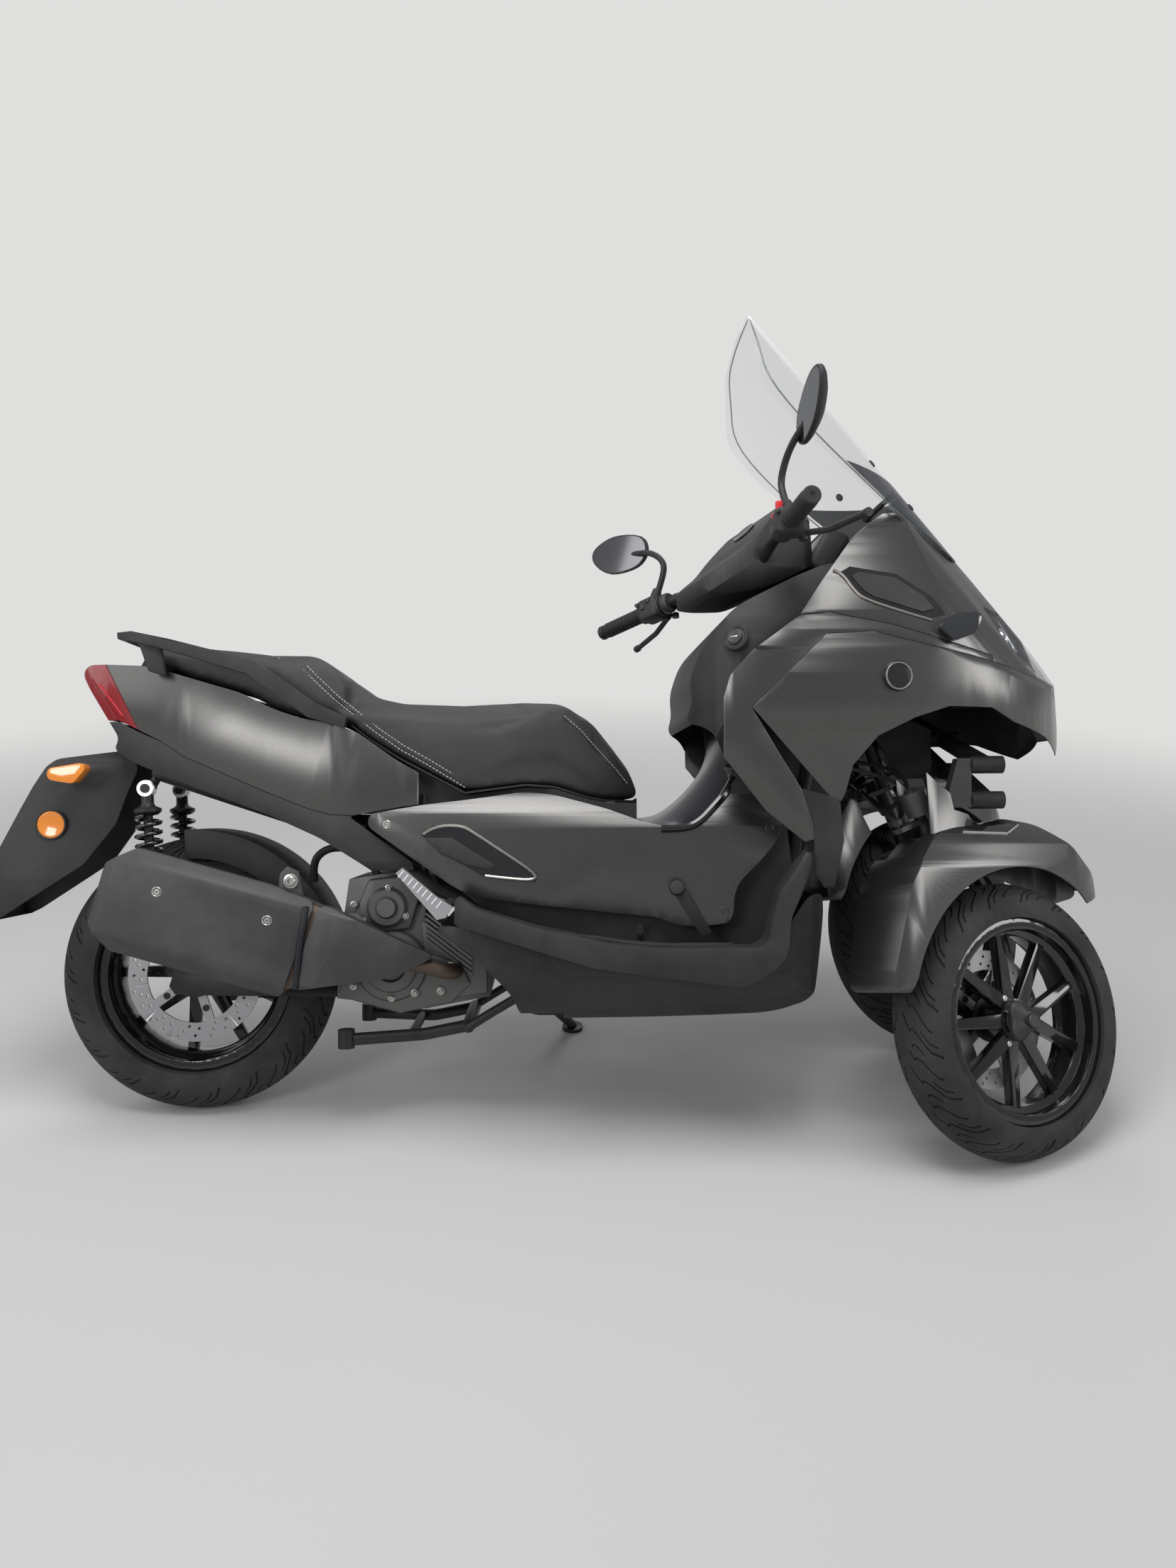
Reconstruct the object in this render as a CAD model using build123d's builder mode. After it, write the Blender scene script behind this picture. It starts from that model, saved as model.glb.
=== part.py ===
from build123d import *
import os
from math import cos, radians, sin, sqrt, tan

# Leaning three-wheel scooter, parked: leaning left on its side stand, steering on its left stop.
# Sizes are millimetres. The vehicle frame has X forward from the rear axle, Y to the rider's left and
# Z up from the ground under the upright machine. Every piece is built in that frame, upright and
# straight ahead, and is steered and leaned as it is written out.

# Chassis sizes
WHEELBASE = 1595.0
TRACK = 470.0
CASTER = 20.0
TRAIL = 68.0
LEAN = 15.7
STEER = 24.0

# Where the written frame's origin lies in the vehicle frame, under the middle of the parked machine
ORIGIN_X = 717.5
ORIGIN_Y = 159.0

# Tyres, rims and brake discs
FRONT_TYRE_R = 261.8
FRONT_TYRE_HALF = 58.0
FRONT_RIM_HALF = 50.0
REAR_TYRE_R = 275.8
REAR_TYRE_HALF = 68.0
REAR_RIM_HALF = 54.0
RIM_LIP_R = 192.0
RIM_SEAT_R = 178.5
RIM_WELL_R = 165.0
RIM_WALL = 6.0
LIP_THICK = 5.5
DISC_R = 133.5
DISC_BAND = 38.0
DISC_THICK = 4.5
AXLE_R = 12.0
RUNNING_FIT = 0.05
HUB_R = 40.0
SPOKE_THICK = 20.0
SPOKE_ROOT_W = 26.0
SPOKE_TIP_W = 18.0

# Front end
FORK_Y = 88.0
FORK_TUBE_R = 17.0
FORK_TUBE_GAP = 56.0
CROWN_Z = 578.0
CROWN_THICK = 26.0
KINGPIN_R = 13.0
HOUSING_R = 24.0
HOUSING_LOW_Z = 652.0
HOUSING_HIGH_Z = 696.0
STEER_ARM = 62.0
STEER_ARM_THICK = 9.0
STEER_ARM_Z = 638.0
TIE_ROD_R = 7.0
TIE_EYE_R = 12.0
TIE_EYE_THICK = 10.0
TIE_PIN_R = 4.0
TIE_PIN_OUT = 17.0
TIE_GAP = 6.0
# The tilt arms' middle plane, behind the front axle
ARM_X = WHEELBASE - 40.0
ARM_THICK = 26.0
SLEEVE_LEN = 64.0
SLEEVE_R = 17.0
ARM_PIN_R = 8.0
LOWER_ARM_Z = 680.0
UPPER_ARM_Z = 748.0
HEAD_TUBE_R = 28.0
HEAD_TUBE_LOW_Z = 760.0
HEAD_TUBE_HIGH_Z = 950.0
STEM_R = 14.0
# How much of a run may go into the round at its end
ROUND_SHARE = 0.46
# Room round what turns with the steering
STEER_GAP = 7.0

# Bodywork
SKIN = 4.0
# Rounds of the bodywork's outlines
BODY_BEND = 400.0
PANEL_BEND = 200.0
SEAT_BEND = 60.0
SEAM = 1.0

os.makedirs("parts", exist_ok=True)

CASTER_UP = Vector(-sin(radians(CASTER)), 0, cos(radians(CASTER)))
STEER_AXIS = Axis((WHEELBASE + TRAIL, 0, 0), CASTER_UP)


def axis_x(z):
    """X of the steering axis at the height z."""
    return WHEELBASE + TRAIL - z * tan(radians(CASTER))


def lean(shape):
    """Leans a piece left about the rear tyre's contact, as it stands on its side stand."""
    core = REAR_TYRE_R - REAR_TYRE_HALF
    turned = shape.rotate(Axis((0, 0, REAR_TYRE_R), (1, 0, 0)), -LEAN)
    drop = core * cos(radians(LEAN)) + REAR_TYRE_HALF - REAR_TYRE_R
    return turned.translate((-ORIGIN_X, core * sin(radians(LEAN)) - ORIGIN_Y, drop))


def world_height(offset):
    """How much higher a point stands, leaned, for its offset from another one."""
    return offset.Z * cos(radians(LEAN)) - offset.Y * sin(radians(LEAN))


def turned_left(offset):
    """An offset from the steering axis, turned with the steering."""
    turn = radians(STEER)
    aside = CASTER_UP.cross(offset) * sin(turn)
    return offset * cos(turn) + aside + CASTER_UP * CASTER_UP.dot(offset) * (1 - cos(turn))


def front_slide():
    """How far the front legs move along the steering axis so that the turned tyres meet the ground."""
    moved = [turned_left(Vector(-TRAIL, 0, FRONT_TYRE_R)), turned_left(Vector(0, 1, 0))]
    core = FRONT_TYRE_R - FRONT_TYRE_HALF
    rear_core = REAR_TYRE_R - REAR_TYRE_HALF
    height = rear_core * cos(radians(LEAN)) + REAR_TYRE_HALF
    height += world_height(moved[0] - Vector(0, 0, REAR_TYRE_R))
    wanted = core * sqrt(1 - world_height(moved[1]) ** 2) + FRONT_TYRE_HALF
    return (wanted - height) / world_height(CASTER_UP)


SLIDE = front_slide()


def hand_in(shape, name):
    """Labels a finished piece and writes it as the node of that name."""
    shape.label = name
    export_step(shape, "parts/" + name + ".step")


def on_chassis(shape, name):
    """Writes a piece of the leaning body."""
    hand_in(lean(shape), name)


def on_bars(shape, name):
    """Writes a piece that turns with the handlebar."""
    hand_in(lean(shape.rotate(STEER_AXIS, STEER)), name)


def at_wheel(shape, side):
    """Places a piece built round the middle plane at one front wheel: side is -1 right, 1 left."""
    turned = shape.rotate(STEER_AXIS, STEER).translate(CASTER_UP * SLIDE)
    return lean(turned).translate((0, side * TRACK / 2, 0))


def at_kingpin(shape, side):
    """Places a piece that leans with one front wheel but doesn't steer."""
    return lean(shape).translate((0, side * TRACK / 2, 0))


def outline(points, plane, bend=0.0):
    """The face inside a closed outline; bend rounds its corners, as far as its runs have room."""
    corners = [Vector(*p) for p in points]
    rounds = []
    for before, here, after in zip(corners[-1:] + corners[:-1], corners, corners[1:] + corners[:1]):
        inward = here - before
        outward = after - here
        half = radians(abs(inward.get_angle(outward))) / 2
        reach = min(bend * tan(half), ROUND_SHARE * inward.length, ROUND_SHARE * outward.length)
        if half < radians(1) or bend == 0:
            rounds.append((here, here, here))
            continue
        side = (outward.normalized() - inward.normalized()).normalized()
        mid = here + side * (reach / tan(half)) * (1 / cos(half) - 1)
        rounds.append((here - inward.normalized() * reach, mid, here + outward.normalized() * reach))
    with BuildSketch(plane) as sketch:
        with BuildLine():
            for (start, mid, end), (following, _, _) in zip(rounds, rounds[1:] + rounds[:1]):
                if (end - start).length > 0:
                    ThreePointArc(start, mid, end)
                Line(end, following)
        make_face()
    return sketch.sketch


def both_sides(table):
    """Turns rows of (station, half width) into a closed outline, symmetric about zero."""
    return [(s, w) for s, w in table] + [(s, -w) for s, w in reversed(table)]


def upright(table):
    """The same for rows of (height, half width), drawn across and up."""
    return [(w, z) for z, w in table] + [(-w, z) for z, w in reversed(table)]


def narrower(table, by):
    """A profile table moved in by a wall's thickness."""
    return [(s, max(w - by, 2.0)) for s, w in table]


def profiled(side, plan, front, bend=0.0, nose=None):
    """The solid whose side, plan and front views are the three outlines; nose narrows it along the nose."""
    with BuildPart() as body:
        extrude(outline(side, Plane.XZ, bend), amount=400, both=True)
        extrude(outline(both_sides(plan), Plane.XY, bend), amount=1800, both=True, mode=Mode.INTERSECT)
        extrude(outline(upright(front), Plane.YZ, bend), amount=2500, both=True, mode=Mode.INTERSECT)
        if nose:
            extrude(
                outline(upright(nose), NOSE_PLANE, bend),
                amount=2500,
                both=True,
                mode=Mode.INTERSECT,
            )
    return body.part


def skin(envelope, core, region):
    """The panel that covers a region of the side view: the envelope there, less its core."""
    with BuildPart() as panel:
        add(envelope)
        extrude(outline(region, Plane.XZ), amount=400, both=True, mode=Mode.INTERSECT)
        add(core, mode=Mode.SUBTRACT)
    return panel.part


def tube(points, bends, radius):
    """A round tube along straight runs joined by arcs."""
    with BuildPart() as pipe:
        with BuildLine() as path:
            if bends:
                FilletPolyline(*points, radius=bends)
            else:
                Polyline(*points)
        with BuildSketch(Plane(path.line @ 0, z_dir=path.line % 0)):
            Circle(radius)
        sweep()
    return pipe.part


def rod(start, end, radius):
    """A straight round bar from one point to another."""
    along = Vector(*end) - Vector(*start)
    with BuildPart() as bar:
        with BuildSketch(Plane(start, z_dir=along)):
            Circle(radius)
        extrude(amount=along.length)
    return bar.part


# Wheels, built with the axle along Y through the origin and the outboard side towards -Y

# Spokes: angle of the root, angle of the tip, three times round
SPOKES = [(-4, -22), (4, 22), (60, 60)]
SPOKE_START_R = 34.0


def rim(half, offset):
    """A cast rim with hub and forked spokes; offset is the spokes' middle plane along the axle."""
    lip_in = half - LIP_THICK
    well = half * 0.42
    section = [
        (-half, RIM_LIP_R),
        (-lip_in, RIM_LIP_R),
        (-lip_in, RIM_SEAT_R),
        (-well - 9, RIM_SEAT_R - 2),
        (-well, RIM_WELL_R),
        (well, RIM_WELL_R),
        (well + 9, RIM_SEAT_R - 2),
        (lip_in, RIM_SEAT_R),
        (lip_in, RIM_LIP_R),
        (half, RIM_LIP_R),
        (half, RIM_SEAT_R - RIM_WALL),
        (well + 9, RIM_SEAT_R - 2 - RIM_WALL),
        (well, RIM_WELL_R - RIM_WALL),
        (-well, RIM_WELL_R - RIM_WALL),
        (-well - 9, RIM_SEAT_R - 2 - RIM_WALL),
        (-half, RIM_SEAT_R - RIM_WALL),
    ]
    spoke_end = RIM_WELL_R - RIM_WALL / 2
    with BuildPart() as wheel:
        revolve(outline(section, Plane.YZ), axis=Axis.Y)
        with BuildSketch(Plane.XZ.offset(-offset - SPOKE_THICK / 2)):
            Circle(HUB_R)
            for turn in (0, 120, 240):
                for root, tip in SPOKES:
                    a = radians(turn + root)
                    b = radians(turn + tip)
                    start = Vector(cos(a), sin(a)) * SPOKE_START_R
                    end = Vector(cos(b), sin(b)) * spoke_end
                    run = (end - start).normalized()
                    across = Vector(-run.Y, run.X)
                    with BuildLine():
                        Polyline(
                            start + across * SPOKE_ROOT_W / 2,
                            end + across * SPOKE_TIP_W / 2,
                            end - across * SPOKE_TIP_W / 2,
                            start - across * SPOKE_ROOT_W / 2,
                            close=True,
                        )
                    make_face()
        extrude(amount=SPOKE_THICK)
        with BuildSketch(Plane.XZ.offset(-HUB_IN)):
            Circle(HUB_R - 4)
        extrude(amount=HUB_IN - offset + SPOKE_THICK)
        with BuildSketch(Plane.XZ.offset(-HUB_IN)):
            Circle(AXLE_R + RUNNING_FIT)
        extrude(amount=HUB_IN - offset + SPOKE_THICK, mode=Mode.SUBTRACT)
    return wheel.part


# How far the hub reaches inboard of the wheel's middle plane
HUB_IN = 47.75


def tyre(radius, half, rim_half):
    """A solid tyre ring with a round crown, seated between the rim's lips."""
    bead = RIM_SEAT_R + 0.5
    crown = radius - half
    flank = 10.0
    bead_half = rim_half - LIP_THICK - 0.5
    low = Vector(half * cos(radians(flank)), crown - half * sin(radians(flank)))
    with BuildPart() as ring:
        with BuildSketch(Plane.YZ):
            with BuildLine():
                Polyline(
                    (-low.X, low.Y),
                    (-bead_half, RIM_LIP_R + 1),
                    (-bead_half, bead),
                    (bead_half, bead),
                    (bead_half, RIM_LIP_R + 1),
                    (low.X, low.Y),
                )
                ThreePointArc((low.X, low.Y), (0, radius), (-low.X, low.Y))
            make_face()
        revolve(axis=Axis.Y)
    return ring.part


def disc(inner_y):
    """A brake disc on its carrier, its middle plane at inner_y along the axle."""
    with BuildPart() as rotor:
        with BuildSketch(Plane.XZ.offset(-inner_y - DISC_THICK / 2)):
            Circle(DISC_R)
            Circle(DISC_R - DISC_BAND, mode=Mode.SUBTRACT)
        extrude(amount=DISC_THICK)
        with BuildSketch(Plane.XZ.offset(-inner_y - DISC_THICK / 2)):
            Circle(HUB_R)
            with PolarLocations((HUB_R + DISC_R - DISC_BAND) / 2, 5):
                Rectangle(DISC_R - DISC_BAND - HUB_R + 12, 18)
            Circle(AXLE_R + 6, mode=Mode.SUBTRACT)
        extrude(amount=DISC_THICK)
    return rotor.part


# Both front wheels: the hub faces out, the disc sits inboard
FRONT_SPOKE_Y = -14.0
FRONT_DISC_Y = 50.0
front_rim = rim(FRONT_RIM_HALF, FRONT_SPOKE_Y)
front_tyre = tyre(FRONT_TYRE_R, FRONT_TYRE_HALF, FRONT_RIM_HALF)
front_disc = disc(FRONT_DISC_Y)
FRONT_AXLE = Location((WHEELBASE, 0, FRONT_TYRE_R))


def sided(shape, side):
    """A right-hand piece for side -1, or its mirror image for the left."""
    return shape if side < 0 else mirror(shape, about=Plane.XZ)


for side, word in ((-1, "right"), (1, "left")):
    for piece, name in ((front_rim, "rim"), (front_tyre, "tyre"), (front_disc, "brake_disc")):
        placed = sided(piece, side).moved(FRONT_AXLE)
        hand_in(at_wheel(placed, side), "front_" + name + "_" + word)

# Rear wheel: the disc sits on the right
REAR_SPOKE_Y = 14.0
REAR_DISC_Y = -50.0
REAR_AXLE = Location((0, 0, REAR_TYRE_R))
rear_rim = mirror(rim(REAR_RIM_HALF, -REAR_SPOKE_Y), about=Plane.XZ)
rear_disc = disc(REAR_DISC_Y)
on_chassis(rear_rim.moved(REAR_AXLE), "rear_rim")
on_chassis(tyre(REAR_TYRE_R, REAR_TYRE_HALF, REAR_RIM_HALF).moved(REAR_AXLE), "rear_tyre")
on_chassis(rear_disc.moved(REAR_AXLE), "rear_brake_disc")

# Front leg, right-hand: stub axle, lower link, two tubes, crown, kingpin and steering arm
LEG_X = (FORK_TUBE_GAP / 2, -FORK_TUBE_GAP / 2)
CALIPER_FACE = 70.0


def along_caster(z, ahead, across):
    """A point at the height z, ahead of the steering axis and across from it."""
    return Vector(axis_x(z) + ahead / cos(radians(CASTER)), across, z)


with BuildPart() as front_leg:
    for ahead in LEG_X:
        foot = along_caster(FRONT_TYRE_R - 20, ahead + 26, FORK_Y)
        head = along_caster(CROWN_Z + CROWN_THICK / 2, ahead, FORK_Y)
        with BuildSketch(Plane(foot, z_dir=head - foot)):
            Circle(FORK_TUBE_R)
        extrude(amount=(head - foot).length)
    with BuildSketch(Plane.XZ.offset(-FORK_Y - FORK_TUBE_R)):
        with Locations((WHEELBASE, FRONT_TYRE_R)):
            Circle(34)
        with Locations((WHEELBASE - 6, FRONT_TYRE_R + 16)):
            Rectangle(96, 66, rotation=CASTER)
    extrude(amount=2 * FORK_TUBE_R)
    with BuildSketch(Plane.XZ.offset(-HUB_IN - 1)):
        with Locations((WHEELBASE, FRONT_TYRE_R)):
            Circle(AXLE_R + 4)
    extrude(amount=-(FORK_Y - HUB_IN - 1))
    # Lug on the caliper's inner face
    with BuildSketch(Plane.XZ.offset(-CALIPER_FACE)):
        with BuildLine():
            Polyline(
                (WHEELBASE - 40, FRONT_TYRE_R + 30),
                (WHEELBASE - 40, FRONT_TYRE_R - 16),
                (WHEELBASE - 92, FRONT_TYRE_R - 60),
                (WHEELBASE - 122, FRONT_TYRE_R - 44),
                (WHEELBASE - 116, FRONT_TYRE_R - 8),
                close=True,
            )
        make_face()
    extrude(amount=-12)
    with BuildSketch(Plane.XZ.offset(-FORK_Y)):
        with Locations((WHEELBASE, FRONT_TYRE_R)):
            Circle(AXLE_R)
    extrude(amount=FORK_Y - FRONT_SPOKE_Y + SPOKE_THICK / 2)
    crown_plane = Plane(along_caster(CROWN_Z, 0, 0), z_dir=CASTER_UP)
    with BuildSketch(crown_plane):
        with Locations((0, (FORK_Y + 0) / 2)):
            RectangleRounded(FORK_TUBE_GAP + 2 * FORK_TUBE_R + 8, FORK_Y + 2 * FORK_TUBE_R + 8, 16)
    extrude(amount=CROWN_THICK)
    arm_z = STEER_ARM_Z - SLIDE * cos(radians(CASTER))
    stem_foot = along_caster(CROWN_Z, 0, 0)
    stem_head = along_caster(HOUSING_HIGH_Z + 10, 0, 0)
    with BuildSketch(Plane(stem_foot, z_dir=CASTER_UP)):
        Circle(KINGPIN_R)
    extrude(amount=(stem_head - stem_foot).length)
    with BuildSketch(Plane(along_caster(arm_z, 0, 0), z_dir=CASTER_UP)):
        with Locations((-STEER_ARM / 2, 0)):
            SlotCenterToCenter(STEER_ARM, 26)
    extrude(amount=STEER_ARM_THICK)
    with BuildSketch(Plane(along_caster(arm_z, 0, 0), z_dir=CASTER_UP)):
        with Locations((-STEER_ARM, 0)):
            Circle(TIE_PIN_R)
    extrude(amount=STEER_ARM_THICK + TIE_PIN_OUT)
front_leg_shape = front_leg.part

# Caliper, right-hand: a block over the disc's rear edge, carried by a lug on the leg
CALIPER_ANGLE = 200.0
with BuildPart() as caliper:
    with BuildSketch(Plane.XZ.offset(-FRONT_DISC_Y + 26)):
        with PolarLocations(DISC_R - 22, 1, start_angle=CALIPER_ANGLE):
            RectangleRounded(62, 96, 14)
    extrude(amount=FRONT_DISC_Y - 26 - CALIPER_FACE)
    with BuildSketch(Plane.XZ.offset(-FRONT_DISC_Y + 4)):
        with PolarLocations(DISC_R - 37.5, 1, start_angle=CALIPER_ANGLE):
            Rectangle(82, 110)
    extrude(amount=-8, mode=Mode.SUBTRACT)
front_caliper = caliper.part.moved(FRONT_AXLE)

# Mudguard, right-hand, in the wheel's own side view: a deep shell with a tower over the kingpin
GUARD_HALF = 76.0
GUARD_WALL = 3.5
GUARD_CLEAR = 27.0
GUARD_BEND = 90.0
GUARD_SIDE = [
    (255, 236),
    (225, 277),
    (159, 325),
    (76, 376),
    (7, 388),
    (-67, 372),
    (-130, 366),
    (-188, 353),
    (-235, 308),
    (-273, 251),
    (-298, 170),
    (-318, 100),
    (-318, 66),
    (-262, 66),
    (0, 150),
    (165, 210),
]
# Front view of the shell: height over the axle and half width
GUARD_FRONT = [(40, 76), (290, 76), (345, 62), (374, 44), (392, 22)]
# Plan view: distance ahead of the axle and half width
GUARD_PLAN = [(-330, 58), (-300, 72), (-240, 76), (60, 76), (160, 62), (225, 42), (258, 16)]


# The gap in the inboard wall, in the wheel's side view
GUARD_LEG_GAP = [(-60, -40), (40, -40), (-20, 360), (-250, 400), (-215, 250)]


guard_core_side = [(x, z - GUARD_WALL) if z > 230 else (x, z - 30) for x, z in GUARD_SIDE[:6]]
guard_core_side += [(x + GUARD_WALL, z - GUARD_WALL) for x, z in GUARD_SIDE[6:11]]
guard_core_side += [(-316 + GUARD_WALL, 90), (-300, 0), (0, 0), (260, 0)]
guard_core = profiled(
    guard_core_side,
    narrower(GUARD_PLAN[1:], GUARD_WALL) + [(300, 10)],
    narrower(GUARD_FRONT, GUARD_WALL),
    GUARD_BEND,
)
guard_shell = profiled(GUARD_SIDE, GUARD_PLAN, GUARD_FRONT, GUARD_BEND)
with BuildPart() as guard:
    add(guard_shell)
    with BuildSketch(Plane.XZ.offset(-GUARD_HALF - 1)):
        Circle(FRONT_TYRE_R + GUARD_CLEAR)
    extrude(amount=2 * GUARD_HALF + 2, mode=Mode.SUBTRACT)
    add(guard_core, mode=Mode.SUBTRACT)
    # The leg's tubes and crown pass the inboard wall, the kingpin's housing the crown
    extrude(outline(GUARD_LEG_GAP, Plane.XZ.offset(-GUARD_HALF / 2)), amount=-60, mode=Mode.SUBTRACT)
    kingpin = along_caster(HOUSING_LOW_Z, 0, 0) - Vector(WHEELBASE, 0, FRONT_TYRE_R)
    with BuildSketch(Plane(kingpin, z_dir=CASTER_UP)):
        Circle(HOUSING_R + STEER_GAP)
    extrude(amount=120, both=True, mode=Mode.SUBTRACT)
# Cheeks in front of the kingpin, part of the mudguard
TOWER_SIDE = [
    (-188, 352), (-67, 368), (-84, 380), (-92, 392), (-126, 400), (-132, 432), (-160, 450),
    (-186, 470),
]
TOWER_HALF = 44.0
with BuildPart() as tower:
    extrude(outline(TOWER_SIDE, Plane.XZ), amount=TOWER_HALF, both=True)
    inner_tower = [
        (-230, 300), (-92, 300), (-92, 388), (-104, 396), (-60, 396), (-60, 500), (-230, 500),
    ]
    extrude(
        outline(inner_tower, Plane.XZ), amount=TOWER_HALF - GUARD_WALL, both=True, mode=Mode.SUBTRACT
    )
GUARD_BRACKET = [(-150, 298), (30, 300), (30, 318), (-150, 314)]
with BuildPart() as whole_guard:
    add(guard.part)
    add(tower.part)
    extrude(outline(GUARD_BRACKET, Plane.XZ.offset(-66)), amount=-20)
    add(front_leg_shape.moved(FRONT_AXLE.inverse()), mode=Mode.SUBTRACT)
guard_shape = whole_guard.part.moved(FRONT_AXLE)
for side, word in ((-1, "right"), (1, "left")):
    hand_in(at_wheel(sided(front_leg_shape, side), side), "front_leg_" + word)
    hand_in(at_wheel(sided(front_caliper, side), side), "front_caliper_" + word)
    hand_in(at_wheel(sided(guard_shape, side), side), "front_mudguard_" + word)

# Tilt linkage: two level beams between the kingpin housings, pivoting on the frame's nose
SHIFT_Y = TRACK / 2 * cos(radians(LEAN))
SHIFT_Z = TRACK / 2 * sin(radians(LEAN))


def beam(z, drop):
    """A beam across the machine, level as it stands: sleeves at its middle and ends, arched between."""
    with BuildPart() as arm:
        for y, lift in ((-SHIFT_Y, -SHIFT_Z), (0, 0), (SHIFT_Y, SHIFT_Z)):
            with BuildSketch(Plane.YZ.offset(ARM_X - SLEEVE_LEN / 2)):
                with Locations((y, z + lift)):
                    Circle(SLEEVE_R)
            extrude(amount=SLEEVE_LEN)
        half_y = SHIFT_Y / 2
        lift = SHIFT_Z / 2
        reach = SLEEVE_R - 4
        for s in (-1, 1):
            middle = (s * half_y, z + s * lift + drop)
            points = [
                (0, z + reach),
                (middle[0], middle[1] + reach),
                (s * SHIFT_Y, z + s * SHIFT_Z + reach),
                (s * SHIFT_Y, z + s * SHIFT_Z - reach),
                (middle[0], middle[1] - reach),
                (0, z - reach),
            ]
            extrude(outline(points, Plane.YZ.offset(ARM_X - ARM_THICK / 2)), amount=ARM_THICK)
        for y, lift in ((-SHIFT_Y, -SHIFT_Z), (0, 0), (SHIFT_Y, SHIFT_Z)):
            with BuildSketch(Plane.YZ.offset(ARM_X - SLEEVE_LEN / 2)):
                with Locations((y, z + lift)):
                    Circle(ARM_PIN_R + RUNNING_FIT)
            extrude(amount=SLEEVE_LEN, mode=Mode.SUBTRACT)
    return arm.part


on_chassis(beam(LOWER_ARM_Z, 14), "lower_tilt_arm")
on_chassis(beam(UPPER_ARM_Z, 0), "upper_tilt_arm")

# Kingpin housings: they lean with the machine and don't steer
HOUSING_NECK = 26.0
with BuildPart() as housing:
    low = along_caster(HOUSING_LOW_Z, 0, 0)
    high = along_caster(HOUSING_HIGH_Z, 0, 0)
    with BuildSketch(Plane(low, z_dir=CASTER_UP)):
        Circle(HOUSING_R)
    extrude(amount=(high - low).length)
    neck_back = axis_x(LOWER_ARM_Z)
    sleeve_back = ARM_X - SLEEVE_LEN / 2 - SEAM
    neck = [
        (neck_back, LOWER_ARM_Z - 14),
        (sleeve_back, LOWER_ARM_Z - 14),
        (sleeve_back, UPPER_ARM_Z + 12),
        (sleeve_back - 26, UPPER_ARM_Z + 12),
        (sleeve_back - 46, LOWER_ARM_Z + 8),
        (axis_x(LOWER_ARM_Z + 8), LOWER_ARM_Z + 8),
    ]
    extrude(outline(neck, Plane.XZ.offset(-HOUSING_NECK / 2)), amount=HOUSING_NECK)
    for z in (LOWER_ARM_Z, UPPER_ARM_Z):
        with BuildSketch(Plane.YZ.offset(ARM_X - SLEEVE_LEN / 2 - 10)):
            with Locations((0, z)):
                Circle(ARM_PIN_R)
        extrude(amount=SLEEVE_LEN + 14)
    with BuildSketch(Plane(low - CASTER_UP * 5, z_dir=CASTER_UP)):
        Circle(KINGPIN_R + RUNNING_FIT)
    extrude(amount=(high - low).length + 10, mode=Mode.SUBTRACT)
for side, word in ((-1, "right"), (1, "left")):
    hand_in(at_kingpin(housing.part, side), "kingpin_housing_" + word)

# Side stand's pivot and the direction of its pin
SIDE_PIVOT = Vector(700, 160, 182)
SIDE_PIN = Vector(0.03, 0.585, 0.81).normalized()
CENTRE_PIVOT = (552, 176)

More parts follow.
